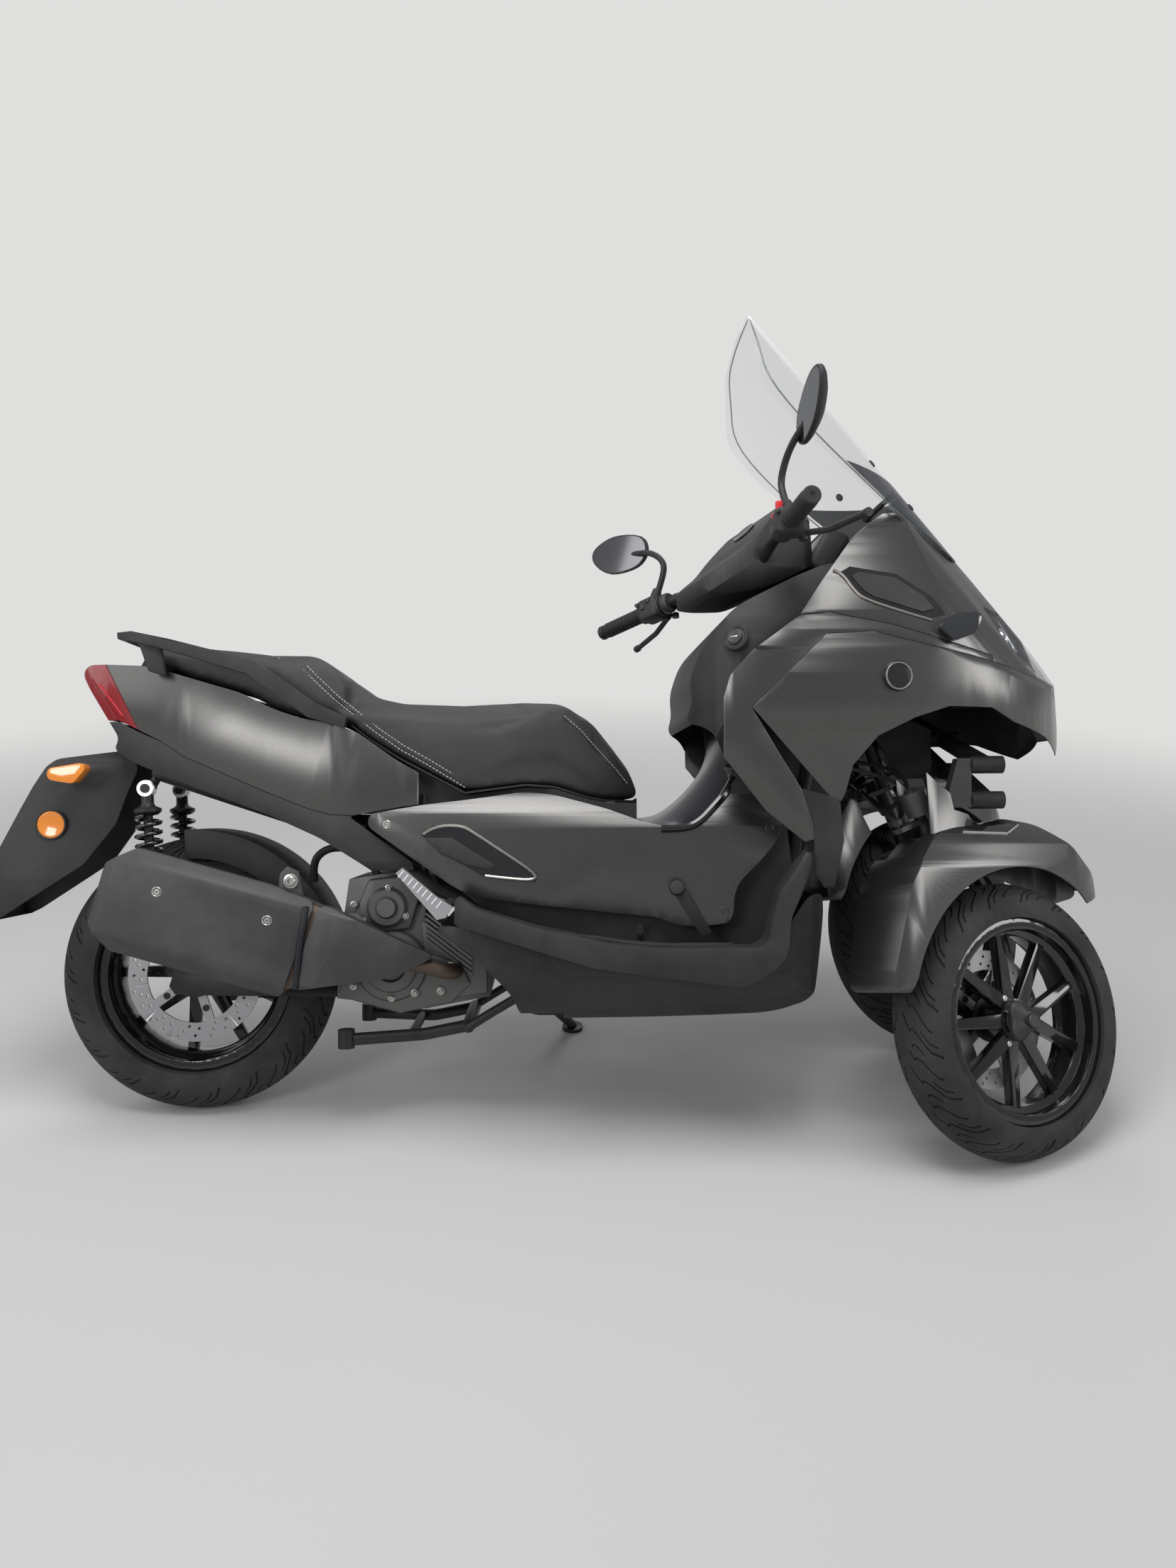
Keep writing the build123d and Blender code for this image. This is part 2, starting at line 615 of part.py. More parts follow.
# Main frame: head tube, nose for the arms, down tubes, floor rails, seat rails and cross tubes
RAIL_Y = 120.0
NOSE_BACK_X = ARM_X - SLEEVE_LEN / 2 - 110
with BuildPart() as frame:
    low = along_caster(HEAD_TUBE_LOW_Z, 0, 0)
    high = along_caster(HEAD_TUBE_HIGH_Z, 0, 0)
    with BuildSketch(Plane(low, z_dir=CASTER_UP)):
        Circle(HEAD_TUBE_R)
    extrude(amount=(high - low).length)
    nose = [
        (axis_x(HEAD_TUBE_LOW_Z) + 4, HEAD_TUBE_LOW_Z + 4),
        (axis_x(860), 860),
        (NOSE_BACK_X + 70, UPPER_ARM_Z + 34),
        (ARM_X - SLEEVE_LEN / 2 - SEAM, UPPER_ARM_Z + 16),
        (ARM_X - SLEEVE_LEN / 2 - SEAM, LOWER_ARM_Z - 16),
        (NOSE_BACK_X + 50, LOWER_ARM_Z - 16),
    ]
    extrude(outline(nose, Plane.XZ.offset(-24)), amount=48)
    for z in (LOWER_ARM_Z, UPPER_ARM_Z):
        with BuildSketch(Plane.YZ.offset(ARM_X - SLEEVE_LEN / 2 - 10)):
            with Locations((0, z)):
                Circle(ARM_PIN_R)
        extrude(amount=SLEEVE_LEN + 14)
    add(tube([(axis_x(800), 0, 800), (1250, 0, 640), (1180, 0, 470), (1130, 0, 250)], 60, 21))
    for s in (-1, 1):
        add(tube([(axis_x(880), s * 20, 880), (1240, s * 120, 700), (1150, s * RAIL_Y, 262)], 60, 16))
        rail = [(1150, s * RAIL_Y, 262), (700, s * RAIL_Y, 250), (560, s * 150, 420), (300, s * 142, 566)]
        add(tube(rail + [(-60, s * 88, 684)], [80, 60, 60], 16))
    for x, z, half in ((1150, 262, RAIL_Y), (720, 251, RAIL_Y), (300, 566, 142), (-60, 684, 88)):
        add(rod((x, -half, z), (x, half, z), 14))
    # Brackets for the two stands
    add(rod(SIDE_PIVOT - SIDE_PIN * 14, SIDE_PIVOT + SIDE_PIN * 34, 8))
    add(rod(SIDE_PIVOT + SIDE_PIN * 26, (700, RAIL_Y, 250), 12))
    for s in (-1, 1):
        add(
            tube(
                [(690, s * 120, 256), (600, s * 122, 205), (CENTRE_PIVOT[0], s * 122, CENTRE_PIVOT[1])],
                30, 9,
            ),
        )
    add(rod((CENTRE_PIVOT[0], -126, CENTRE_PIVOT[1]), (CENTRE_PIVOT[0], 126, CENTRE_PIVOT[1]), 8))
    with BuildSketch(Plane(low, z_dir=CASTER_UP)):
        Circle(STEM_R + 2)
    extrude(amount=(high - low).length, mode=Mode.SUBTRACT)
    with BuildSketch(Plane(low, z_dir=CASTER_UP)):
        Circle(STEM_R + STEER_GAP)
    extrude(amount=-160, mode=Mode.SUBTRACT)

# Steering stem with its pitman arm and the handlebar on top
GRIP_END_X = 980.0
GRIP_END_Z = 1066.0
BAR_HALF = 407.5
BAR_R = 11.0
GRIP_R = 17.0
GRIP_LEN = 125.0
BAR_BEND_Y = 150.0
BAR_MID_X = 1090.0
BAR_MID_Z = 1060.0


def bar_end(s):
    """One side's bend, end and direction of the bar, from the bend outwards."""
    bend = Vector(BAR_MID_X - 10, s * BAR_BEND_Y, BAR_MID_Z + 34)
    end = Vector(GRIP_END_X, s * BAR_HALF, GRIP_END_Z)
    return bend, end, (end - bend).normalized()


with BuildPart() as handlebar:
    foot = along_caster(STEER_ARM_Z, 0, 0)
    head = along_caster(HEAD_TUBE_HIGH_Z + 34, 0, 0)
    with BuildSketch(Plane(foot, z_dir=CASTER_UP)):
        Circle(STEM_R)
    extrude(amount=(head - foot).length)
    with BuildSketch(Plane(foot, z_dir=CASTER_UP)):
        with Locations((-STEER_ARM / 2, 0)):
            SlotCenterToCenter(STEER_ARM, 30)
    extrude(amount=STEER_ARM_THICK)
    with BuildSketch(Plane(foot, z_dir=CASTER_UP)):
        with Locations((-STEER_ARM, 0)):
            Circle(TIE_PIN_R)
    extrude(amount=STEER_ARM_THICK + TIE_PIN_OUT)
    boom = [
        (axis_x(980) - 24, 970),
        (axis_x(980) + 24, 970),
        (axis_x(1090) + 24, 1096),
        (BAR_MID_X + 60, BAR_MID_Z + 34),
        (BAR_MID_X - 16, BAR_MID_Z + 16),
        (BAR_MID_X - 16, BAR_MID_Z - 16),
        (BAR_MID_X + 60, BAR_MID_Z - 8),
        (axis_x(1050) - 24, 1050),
    ]
    extrude(outline(boom, Plane.XZ), amount=24, both=True)
    for s in (-1, 1):
        bend, end, run = bar_end(s)
        bar = [
            (BAR_MID_X, 0, BAR_MID_Z), (BAR_MID_X, s * 60, BAR_MID_Z), tuple(bend),
            tuple(end - run * 2),
        ]
        add(tube(bar, [30, 60], BAR_R))
on_bars(handlebar.part, "handlebar")

grip_solids = []
for s in (-1, 1):
    bend, end, run = bar_end(s)
    with BuildPart() as grip:
        with BuildSketch(Plane(end - run * GRIP_LEN, z_dir=run)):
            Circle(GRIP_R)
            Circle(BAR_R + RUNNING_FIT, mode=Mode.SUBTRACT)
        extrude(amount=GRIP_LEN - 6)
        with BuildSketch(Plane(end - run * 6, z_dir=run)):
            Circle(GRIP_R - 2)
            Circle(BAR_R + RUNNING_FIT, mode=Mode.SUBTRACT)
        extrude(amount=6)
    grip_solids.append(grip.part)
on_bars(Compound(children=grip_solids), "handlebar_grips")

# Tie rod: one bar over the pitman arm and both steering arms, level as it stands
arm_middle = Vector(axis_x(STEER_ARM_Z), 0, STEER_ARM_Z) + CASTER_UP * STEER_ARM_THICK / 2
arm_back = Vector(-cos(radians(CASTER)), 0, -sin(radians(CASTER))) * STEER_ARM
pitman_ball = arm_middle + turned_left(arm_back)
bar_middle = pitman_ball + CASTER_UP * (STEER_ARM_THICK / 2 + TIE_GAP + TIE_EYE_THICK / 2)
bar_reach = Vector(0, SHIFT_Y, SHIFT_Z)
with BuildPart() as tie_rod:
    add(rod(bar_middle - bar_reach, bar_middle + bar_reach, TIE_ROD_R - 2.5))
    for share in (-0.5, 0.5):
        add(
            rod(
                bar_middle + bar_reach * (share - 0.2), bar_middle + bar_reach * (share + 0.2),
                TIE_ROD_R,
            ),
        )
    for share in (-1, 0, 1):
        eye = bar_middle + bar_reach * share
        with BuildSketch(Plane(eye - CASTER_UP * TIE_EYE_THICK / 2, z_dir=CASTER_UP)):
            Circle(TIE_EYE_R)
        extrude(amount=TIE_EYE_THICK)
    for share in (-1, 0, 1):
        eye = bar_middle + bar_reach * share
        with BuildSketch(Plane(eye - CASTER_UP * TIE_EYE_THICK, z_dir=CASTER_UP)):
            Circle(TIE_PIN_R + RUNNING_FIT)
        extrude(amount=2 * TIE_EYE_THICK, mode=Mode.SUBTRACT)
on_chassis(tie_rod.part, "tie_rod")

# Front bodywork: one envelope in side, plan and front view, cut into panels
NOSE_TIP = (1790, 738)
FRONT_LINE = [(1594, 1092), (1640, 1035), (1705, 968), (1740, 882), (1768, 810), NOSE_TIP]
FRONT_SIDE = [
    (960, 380), (960, 1000), (1190, 1092), (1290, 1120), (1366, 1178), (1405, 1205), (1500, 1150),
]
FRONT_SIDE += FRONT_LINE + [(1740, 690), (1300, 380)]
# The cowl stands outside the kingpins
COWL_HALF = TRACK / 2 + 57.0


def inside_cowl(table):
    """Half widths from rows of (station, how far inside the cowl's widest)."""
    return [(s, COWL_HALF - inset) for s, inset in table]


# Distance ahead of the rear axle, and how far inside the widest
FRONT_PLAN = inside_cowl(
    [(950, 30), (1050, 8), (1200, 0), (1400, 0), (1540, 18), (1650, 70), (1730, 152), (1792, 262)],
)
# Height, and how far inside the widest
FRONT_FRONT = [
    (380, 56), (600, 30), (760, 8), (860, 0), (950, 12), (1050, 60), (1110, 86), (1170, 120),
    (1206, 172),
]
FRONT_FRONT = inside_cowl(FRONT_FRONT)
# Seen along the sloping nose line: distance out from it and half width
NOSE_PLANE = Plane((1594, 0, 1092), x_dir=(0, 1, 0), z_dir=(0.636, 0, -0.772))
NOSE_FRONT = [
    (-1500, -8), (-420, -8), (-230, 4), (-150, 38), (-95, 102), (-50, 162), (-14, 220), (10, 268),
]
NOSE_FRONT = inside_cowl(NOSE_FRONT)
front_envelope = profiled(FRONT_SIDE, FRONT_PLAN, FRONT_FRONT, BODY_BEND, NOSE_FRONT)
front_core_side = [(700, 300), (700, 1170), (1290, 1114), (1366, 1172), (1405, 1199), (1500, 1143)]
front_core_side += [(x - SKIN, z - SKIN) for x, z in FRONT_LINE] + [(1780, 300)]
front_core = profiled(
    front_core_side,
    narrower(FRONT_PLAN, SKIN),
    narrower([(300, COWL_HALF - 62)] + FRONT_FRONT, SKIN),
    BODY_BEND,
    [(n - SKIN, max(w - SKIN, 2.0)) for n, w in NOSE_FRONT],
)

ARCH = [
    (1770, 700), (1700, 742), (1606, 766), (1554, 792), (1466, 793), (1400, 772), (1330, 738),
    (1284, 684), (1270, 630),
]
SIDE_COWL = [
    (1092, 792), (1145, 843), (1234, 929), (1322, 934), (1439, 904), (1560, 880), (1700, 850),
    (1800, 800),
]
SIDE_COWL += [(1800, 720)] + ARCH + [(1262, 616), (1239, 628)]
on_chassis(skin(front_envelope, front_core, SIDE_COWL), "front_cowl")

BAND = [
    (1040, 700), (1040, 812), (1052, 852), (1094, 898), (1187, 966), (1240, 972), (1358, 948),
    (1464, 916),
]
BAND += [
    (1560, 892), (1560, 881), (1439, 905), (1322, 935), (1234, 930), (1144, 843), (1091, 792),
    (1148, 700),
]
BAND += [(1187, 640), (1211, 574), (1213, 545), (1195, 540), (1120, 600)]
on_chassis(skin(front_envelope, front_core, BAND), "cowl_frame")

LEG_PANEL = [(1216, 480), (1212, 574), (1188, 640), (1238, 627), (1261, 615), (1270, 541), (1250, 430)]
on_chassis(skin(front_envelope, front_core, LEG_PANEL), "lower_leg_panel")

# The lamps lie each side of a painted strip down the nose's middle
NOSE_STRIP_HALF = 44.0
LAMP_BACK = [(1820, 1004), (1590, 1004), (1613, 956), (1662, 884), (1692, 862), (1820, 830)]
UPPER_COWL = [
    (1188, 968), (1240, 1040), (1300, 1118), (1366, 1180), (1405, 1210), (1620, 1140), (1820, 1140),
]
UPPER_COWL += [(1820, 1005), (1589, 1005), (1612, 955.6), (1661, 883.2), (1691.5, 861.2), (1820, 829)]
UPPER_COWL += [
    (1820, 795), (1800, 801), (1700, 851), (1561, 881), (1561, 893), (1464, 917), (1358, 949),
]
UPPER_COWL += [(1240, 973)]
NOSE_STRIP = [(1560, 1040), (1560, 900), (1680, 856), (1800, 802), (1820, 1040)]


def nose_strip(half):
    """The middle of the nose, as wide as half each side."""
    with BuildPart() as strip:
        add(skin(front_envelope, front_core, NOSE_STRIP))
        extrude(
            outline([(1500, -half), (1900, -half), (1900, half), (1500, half)], Plane.XY),
            amount=1800,
            mode=Mode.INTERSECT,
        )
    return strip.part


with BuildPart() as upper_cowl:
    add(skin(front_envelope, front_core, UPPER_COWL))
    add(nose_strip(NOSE_STRIP_HALF))
on_chassis(upper_cowl.part, "upper_cowl")
with BuildPart() as headlamp:
    add(skin(front_envelope, front_core, LAMP_BACK))
    add(nose_strip(NOSE_STRIP_HALF + SEAM / 2), mode=Mode.SUBTRACT)
on_chassis(headlamp.part, "headlamp")

# Front indicators, small wings on the cowl's sides
FRONT_LAMP = [(1440, 944), (1479, 966), (1532, 970), (1512, 928), (1474, 914)]
LAMP_BEND = 12.0
with BuildPart() as front_lamps:
    for s in (-1, 1):
        extrude(outline(FRONT_LAMP, Plane.XZ.offset(s * 268), LAMP_BEND), amount=26, both=True)
    add(front_envelope, mode=Mode.SUBTRACT)
on_chassis(front_lamps.part, "front_indicators")

# Windscreen: a rolled sheet along a sloping line, trimmed in front view
SCREEN_FOOT = Vector(1594, 0, 1092)
SCREEN_HEAD = Vector(1139, 0, 1639)
SCREEN_R = 215.0
SCREEN_THICK = 4.0
# Height and half width of the trimmed sheet
SCREEN_FRONT = [
    (1096, 60), (1112, 118), (1150, 152), (1200, 172), (1265, 184), (1357, 194), (1448, 194),
    (1520, 168),
]
SCREEN_FRONT += [(1578, 138), (1612, 96), (1634, 50)]
screen_up = (SCREEN_HEAD - SCREEN_FOOT).normalized()
screen_ahead = Vector(screen_up.Z, 0, -screen_up.X)


def screen_sheet(inner_r, outer_r):
    """The rolled sheet before trimming, between two radii about its own sloping axis."""
    with BuildPart() as sheet:
        with BuildSketch(Plane(SCREEN_FOOT - screen_ahead * SCREEN_R - screen_up * 60, z_dir=screen_up)):
            Circle(outer_r)
            if inner_r:
                Circle(inner_r, mode=Mode.SUBTRACT)
        extrude(amount=(SCREEN_HEAD - SCREEN_FOOT).length + 140)
    return sheet.part


with BuildPart() as screen:
    add(screen_sheet(SCREEN_R - SCREEN_THICK, SCREEN_R))
    extrude(outline(upright(SCREEN_FRONT), Plane.YZ, BODY_BEND), amount=1800, mode=Mode.INTERSECT)
    front_half = [
        (1594, 1000), (1300, 1000), (1185, 1200), (1090, 1470), (1040, 1700), (1700, 1700),
        (1700, 1000),
    ]
    extrude(outline(front_half, Plane.XZ), amount=300, both=True, mode=Mode.INTERSECT)
    add(front_envelope, mode=Mode.SUBTRACT)
on_chassis(screen.part, "windscreen")

# Bracket that carries the screen: two stays from the cowl's top to its inner face
STAY_Y = 96.0
with BuildPart() as stays:
    for s in (-1, 1):
        add(tube([(1440, s * 60, 1100), (1452, s * STAY_Y, 1200), (1420, s * STAY_Y, 1275)], 40, 7))
    add(rod((1424, -STAY_Y, 1244), (1424, STAY_Y, 1244), 6))
    add(front_envelope, mode=Mode.SUBTRACT)
    add(screen_sheet(SCREEN_R - SCREEN_THICK - 0.2, SCREEN_R + 60), mode=Mode.SUBTRACT)
on_chassis(stays.part, "windscreen_stay")

# Leg shield: the shell that faces the rider, with a gap where the steering comes out
SHIELD_LINE = [
    (1057, 694), (1022, 758), (983, 774), (996, 810), (991, 859), (1019, 932), (1069, 986),
    (1113, 1011),
]
SHIELD_LINE += [(1194, 1053), (1263, 1083)]
SHIELD_PLAN = [(970, 120), (990, 168), (1040, 250), (1100, 274), (1200, 280), (1420, 280)]
SHIELD_FRONT = [(690, 200), (760, 250), (860, 272), (950, 262), (1050, 208), (1100, 182)]
shield_side = SHIELD_LINE + [(1320, 1083), (1320, 1020), (1180, 960), (1100, 860), (1110, 694)]
shield_core_side = [(x + 5, z - 5) for x, z in SHIELD_LINE[1:]] + [(1400, 1078), (1400, 600), (1062, 600)]
shield_core = profiled(
    shield_core_side, narrower(SHIELD_PLAN, 5), narrower([(600, 180)] + SHIELD_FRONT, 5), BODY_BEND
)
with BuildPart() as leg_shield:
    add(profiled(shield_side, SHIELD_PLAN, SHIELD_FRONT, BODY_BEND))
    add(shield_core, mode=Mode.SUBTRACT)
    steering_gap = [(1096, 1300), (1096, 992), (1340, 992), (1340, 1300)]
    extrude(outline(steering_gap, Plane.XZ), amount=104, both=True, mode=Mode.SUBTRACT)
on_chassis(leg_shield.part, "leg_shield")

# Side covers and the tunnel between the footboards
TUNNEL_TOP = [
    (427, 608), (478, 616), (553, 624), (669, 639), (725, 633), (827, 605), (892, 581), (946, 569),
    (986, 571), (1021, 596),
]
TUNNEL_TOP += [(1056, 629), (1071, 663), (1056, 692)]
TUNNEL_SIDE = [(341, 593)] + TUNNEL_TOP + [(1150, 694), (1172, 562), (1117, 499), (1068, 455), (1064, 373)]
TUNNEL_SIDE += [(956, 381), (923, 396), (867, 402), (755, 416), (644, 429), (561, 442), (522, 465), (478, 496)]
TUNNEL_PLAN = [(330, 184), (480, 200), (700, 212), (900, 196), (1060, 214), (1180, 244)]
TUNNEL_FRONT = [(370, 222), (450, 215), (600, 192), (660, 158), (700, 150)]
with BuildPart() as tunnel:
    add(profiled(TUNNEL_SIDE, TUNNEL_PLAN, TUNNEL_FRONT, PANEL_BEND))
    tunnel_core_side = [
        (320, 100), (320, 720), (860, 720), (880, 582), (946, 564), (986, 566), (1018, 596),
        (1052, 631),
    ]
    tunnel_core_side += [(1066, 661), (1050, 720), (1200, 720), (1200, 100)]
    tunnel_tall = [(100, 222)] + TUNNEL_FRONT + [(730, 150)]
    tunnel_core = profiled(
        tunnel_core_side,
        narrower(TUNNEL_PLAN, SKIN),
        narrower(tunnel_tall, SKIN),
        PANEL_BEND,
    )
    add(tunnel_core, mode=Mode.SUBTRACT)
on_chassis(tunnel.part, "side_covers")

# Footboards
FLOOR_SIDE = [
    (538, 440), (548, 443), (581, 421), (683, 389), (828, 357), (920, 348), (1117, 346), (1126, 399),
]
FLOOR_SIDE += [
    (1141, 449), (1200, 530), (1208, 500), (1160, 400), (1154, 323), (1076, 271), (795, 312),
    (698, 343),
]
FLOOR_SIDE += [(546, 389), (536, 392)]
FLOOR_PLAN = [(520, 262), (700, 290), (1080, 292), (1220, 286)]
FLOOR_FRONT = [(260, 286), (330, 292), (440, 290), (540, 276)]
FLOOR_IN = 223.0
with BuildPart() as floor_boards:
    add(profiled(FLOOR_SIDE, FLOOR_PLAN, FLOOR_FRONT, SEAT_BEND))
    extrude(
        outline([(500, 200), (1300, 200), (1300, 600), (500, 600)], Plane.XZ),
        amount=FLOOR_IN,
        both=True,
        mode=Mode.SUBTRACT,
    )
on_chassis(floor_boards.part, "footboards")

# Belly cover: a tub under the floor
BELLY_SIDE = [
    (483, 386), (544, 388), (698, 342), (795, 311), (1076, 270), (1156, 322), (1162, 380), (1206, 436),
    (1240, 442),
]
BELLY_SIDE += [
    (1245, 408), (1226, 298), (1216, 240), (1140, 207), (1028, 200), (861, 193), (663, 195),
    (640, 262), (568, 333),
]
BELLY_PLAN = [(480, 226), (600, 244), (1000, 262), (1150, 254), (1250, 214)]
BELLY_FRONT = [(190, 130), (215, 200), (300, 262), (450, 270)]
belly_core_side = [
    (400, 500), (482, 392), (572, 338), (646, 266), (668, 200), (861, 198), (1028, 205), (1138, 212),
    (1211, 243),
]
belly_core_side += [(1221, 299), (1240, 409), (1234, 600)]
belly_core = profiled(
    belly_core_side,
    narrower(BELLY_PLAN, SKIN),
    narrower(BELLY_FRONT + [(620, 270)], SKIN),
    PANEL_BEND,
)
with BuildPart() as belly:
    add(profiled(BELLY_SIDE, BELLY_PLAN, BELLY_FRONT, PANEL_BEND))
    add(belly_core, mode=Mode.SUBTRACT)
    # The side stand's bracket comes out through the bottom
    stand_gap = [(600, 180), (740, 180), (740, 232), (690, 268), (600, 268)]
    for inner in (-190, 106):
        extrude(outline(stand_gap, Plane.XZ.offset(inner)), amount=84, mode=Mode.SUBTRACT)
    add(floor_boards.part, mode=Mode.SUBTRACT)
on_chassis(belly.part, "belly_cover")

# Tail: side panels, lower cover and lamp cut from one envelope
TAIL_TOP = [
    (-219, 884), (-203, 900), (-166, 900), (-69, 893), (28, 863), (118, 836), (178, 804), (239, 784),
    (326, 770),
]
TAIL_TOP += [(425, 699), (548, 631)]
TAIL_LOW = [
    (549, 627), (427, 611), (338, 596), (332, 592), (468, 492), (415, 460), (348, 506), (275, 552),
    (171, 599), (46, 645), (-107, 704),
]
TAIL_LOW += [(-147, 730), (-136, 752), (-204, 857)]
TAIL_PLAN = [(-222, 62), (-200, 76), (0, 132), (300, 176), (550, 188)]
TAIL_FRONT = [(440, 172), (600, 188), (700, 186), (800, 172), (905, 128)]
tail_envelope = profiled(TAIL_TOP + TAIL_LOW, TAIL_PLAN, TAIL_FRONT, PANEL_BEND)
tail_core_side = [
    (-212, 884), (-200, 895), (-166, 895), (-70, 888), (-70, 1000), (700, 1000), (700, 300),
    (-107, 699),
]
tail_core_side += [(-140, 732), (-129, 753), (-197, 858)]
tail_core = profiled(
    tail_core_side,
    narrower(TAIL_PLAN + [(700, 188)], SKIN),
    narrower([(300, 172)] + TAIL_FRONT + [(1000, 128)], SKIN),
    PANEL_BEND,
)
TAIL_SEAM = [
    (-135, 786), (-45, 744), (2, 714), (162, 645), (250, 610), (294, 598), (338, 596), (427, 611),
    (549, 627),
]
on_chassis(
    skin(
        tail_envelope, tail_core,
        [(-176, 920), (600, 920), (600, 627)] + TAIL_SEAM[:0:-1] + [(-95, 768)],
    ),
    "tail_cover",
)
under = [(-260, 785), (-137, 785), (-97, 765)] + [(x, z - SEAM) for x, z in TAIL_SEAM[1:]]
on_chassis(
    skin(tail_envelope, tail_core, under + [(600, 600), (600, 400), (-260, 400)]),
    "tail_undercover",
)
on_chassis(
    skin(tail_envelope, tail_core, [(-177, 920), (-96, 769), (-137, 788), (-260, 788), (-260, 920)]),
    "tail_light",
)

# Seat: rider's and pillion's cushion, with the pan below it
RIDER_SIDE = [
    (300, 868), (319, 866), (373, 826), (428, 813), (546, 808), (665, 815), (737, 812), (801, 776),
    (849, 719),
]
RIDER_SIDE += [
    (884, 676), (903, 634), (895, 622), (828, 624), (794, 630), (726, 651), (669, 655), (589, 645),
    (552, 640),
]
RIDER_SIDE += [(425, 708), (366, 746), (330, 774), (300, 784)]
RIDER_PLAN = [(236, 140), (400, 165), (550, 175), (700, 160), (850, 95), (905, 40)]
RIDER_FRONT = [(610, 178), (760, 180), (795, 160), (812, 110), (910, 90)]
PILLION_SIDE = [
    (-110, 922), (-90, 932), (23, 931), (163, 914), (256, 909), (318, 868), (318, 772), (239, 791),
    (178, 811),
]
PILLION_SIDE += [(118, 843), (28, 870), (-69, 900), (-105, 904)]
PILLION_PLAN = [(-112, 56), (-60, 104), (100, 122), (250, 140), (330, 150)]
PILLION_FRONT = [(770, 150), (890, 132), (915, 112), (934, 70)]
with BuildPart() as cushion:
    add(profiled(RIDER_SIDE, RIDER_PLAN, RIDER_FRONT, SEAT_BEND))
    add(profiled(PILLION_SIDE, PILLION_PLAN, PILLION_FRONT, SEAT_BEND))
on_chassis(cushion.part, "seat_cushion")
PAN_THICK = 4.0
# The seat tips forward about this pin
SEAT_HINGE = (885.0, 612.0)
HINGE_HALF = 28.0
HINGE_R = 7.0
HINGE_PIN_R = 3.5
with BuildPart() as seat_pan:
    low_line = RIDER_SIDE[11:-1]
    pan = low_line + [(x, z - PAN_THICK) for x, z in reversed(low_line)]
    extrude(outline(pan, Plane.XZ), amount=400, both=True)
    extrude(
        outline(both_sides(narrower(RIDER_PLAN, 8)), Plane.XY),
        amount=1800,
        both=True,
        mode=Mode.INTERSECT,
    )
    # Hinge barrel with its pin, under the seat's front
    add(
        rod(
            (SEAT_HINGE[0], -HINGE_HALF, SEAT_HINGE[1]), (SEAT_HINGE[0], HINGE_HALF, SEAT_HINGE[1]),
            HINGE_R,
        ),
    )
    strap = [(872, 622), (872, 634), (898, 634), (898, 616), (885, 606)]
    for s in (-1, 1):
        notch = [(812, 600), (920, 600), (920, 640), (812, 640)]
        extrude(
            outline(notch, Plane.XZ.offset(-s * (HINGE_HALF + 4))),
            amount=5,
            both=True,
            mode=Mode.SUBTRACT,
        )
    extrude(outline(strap, Plane.XZ), amount=HINGE_HALF - 2, both=True)
    pin_half = HINGE_HALF + 6
    add(
        rod(
            (SEAT_HINGE[0], -pin_half, SEAT_HINGE[1]), (SEAT_HINGE[0], pin_half, SEAT_HINGE[1]),
            HINGE_PIN_R,
        ),
    )
    add(cushion.part, mode=Mode.SUBTRACT)
on_chassis(seat_pan.part, "seat_base")

# Storage bin under the seat
BIN_SIDE = [
    (330, 742), (372, 716), (425, 692), (552, 626), (800, 608), (800, 470), (560, 470), (470, 600),
    (330, 620),
]
BIN_HALF = 132.0
with BuildPart() as storage:
    extrude(outline(BIN_SIDE, Plane.XZ), amount=BIN_HALF, both=True)
    hollow = [(333, 800), (333, 623), (472, 603), (563, 473), (797, 473), (797, 800)]
    extrude(outline(hollow, Plane.XZ), amount=BIN_HALF - 3, both=True, mode=Mode.SUBTRACT)
    # Ears for the seat's hinge pin
    ear = [
        (798, 592), (798, 607), (830, 617), (878, 620), (893, 616), (893, 606), (880, 603), (828, 608),
    ]
    for s in (-1, 1):
        extrude(outline(ear, Plane.XZ.offset(-s * (HINGE_HALF + 4))), amount=2.5, both=True)
    pin_hole = rod((SEAT_HINGE[0], -60, SEAT_HINGE[1]), (SEAT_HINGE[0], 60, SEAT_HINGE[1]), HINGE_PIN_R + RUNNING_FIT)
    add(pin_hole, mode=Mode.SUBTRACT)
on_chassis(storage.part, "storage_bin")

# Rear suspension's places across the machine
SHOCK_Y = 104.0
SHOCK_R = 25.0
SHOCK_IN = 92.0
SHOCK_LOW = 386.0
SHOCK_TOP = Vector(-78, 0, 652)
SWING_IN = 84.0
SWING_OUT = 106.0

# Engine and drive: plain blocks at their real places, the belt drive's case down the left side
ENGINE_SIDE = [
    (296, 236), (300, 330), (320, 470), (430, 486), (472, 440), (468, 392), (554, 328), (596, 288),
    (596, 236),
]
ENGINE_SIDE += [(470, 214)]
DRIVE_SIDE = [
    (-64, 300), (-40, 350), (40, 352), (420, 400), (470, 330), (400, 230), (20, 198), (-50, 230),
]
DRIVE_IN = 92.0
DRIVE_OUT = 150.0
with BuildPart() as engine:
    extrude(outline(ENGINE_SIDE, Plane.XZ), amount=118, both=True)
    extrude(outline(DRIVE_SIDE, Plane.XZ.offset(-DRIVE_OUT)), amount=DRIVE_OUT - DRIVE_IN)
    add(rod((0, HUB_IN + 1, REAR_TYRE_R), (0, DRIVE_IN + 5, REAR_TYRE_R), 22))
    add(rod((-67, SHOCK_IN - 2, SHOCK_LOW), (-67, DRIVE_OUT - 8, SHOCK_LOW), 9))
    add(rod((-67, DRIVE_OUT - 20, SHOCK_LOW), (-26, DRIVE_OUT - 20, 320), 11))
on_chassis(engine.part, "engine_unit")

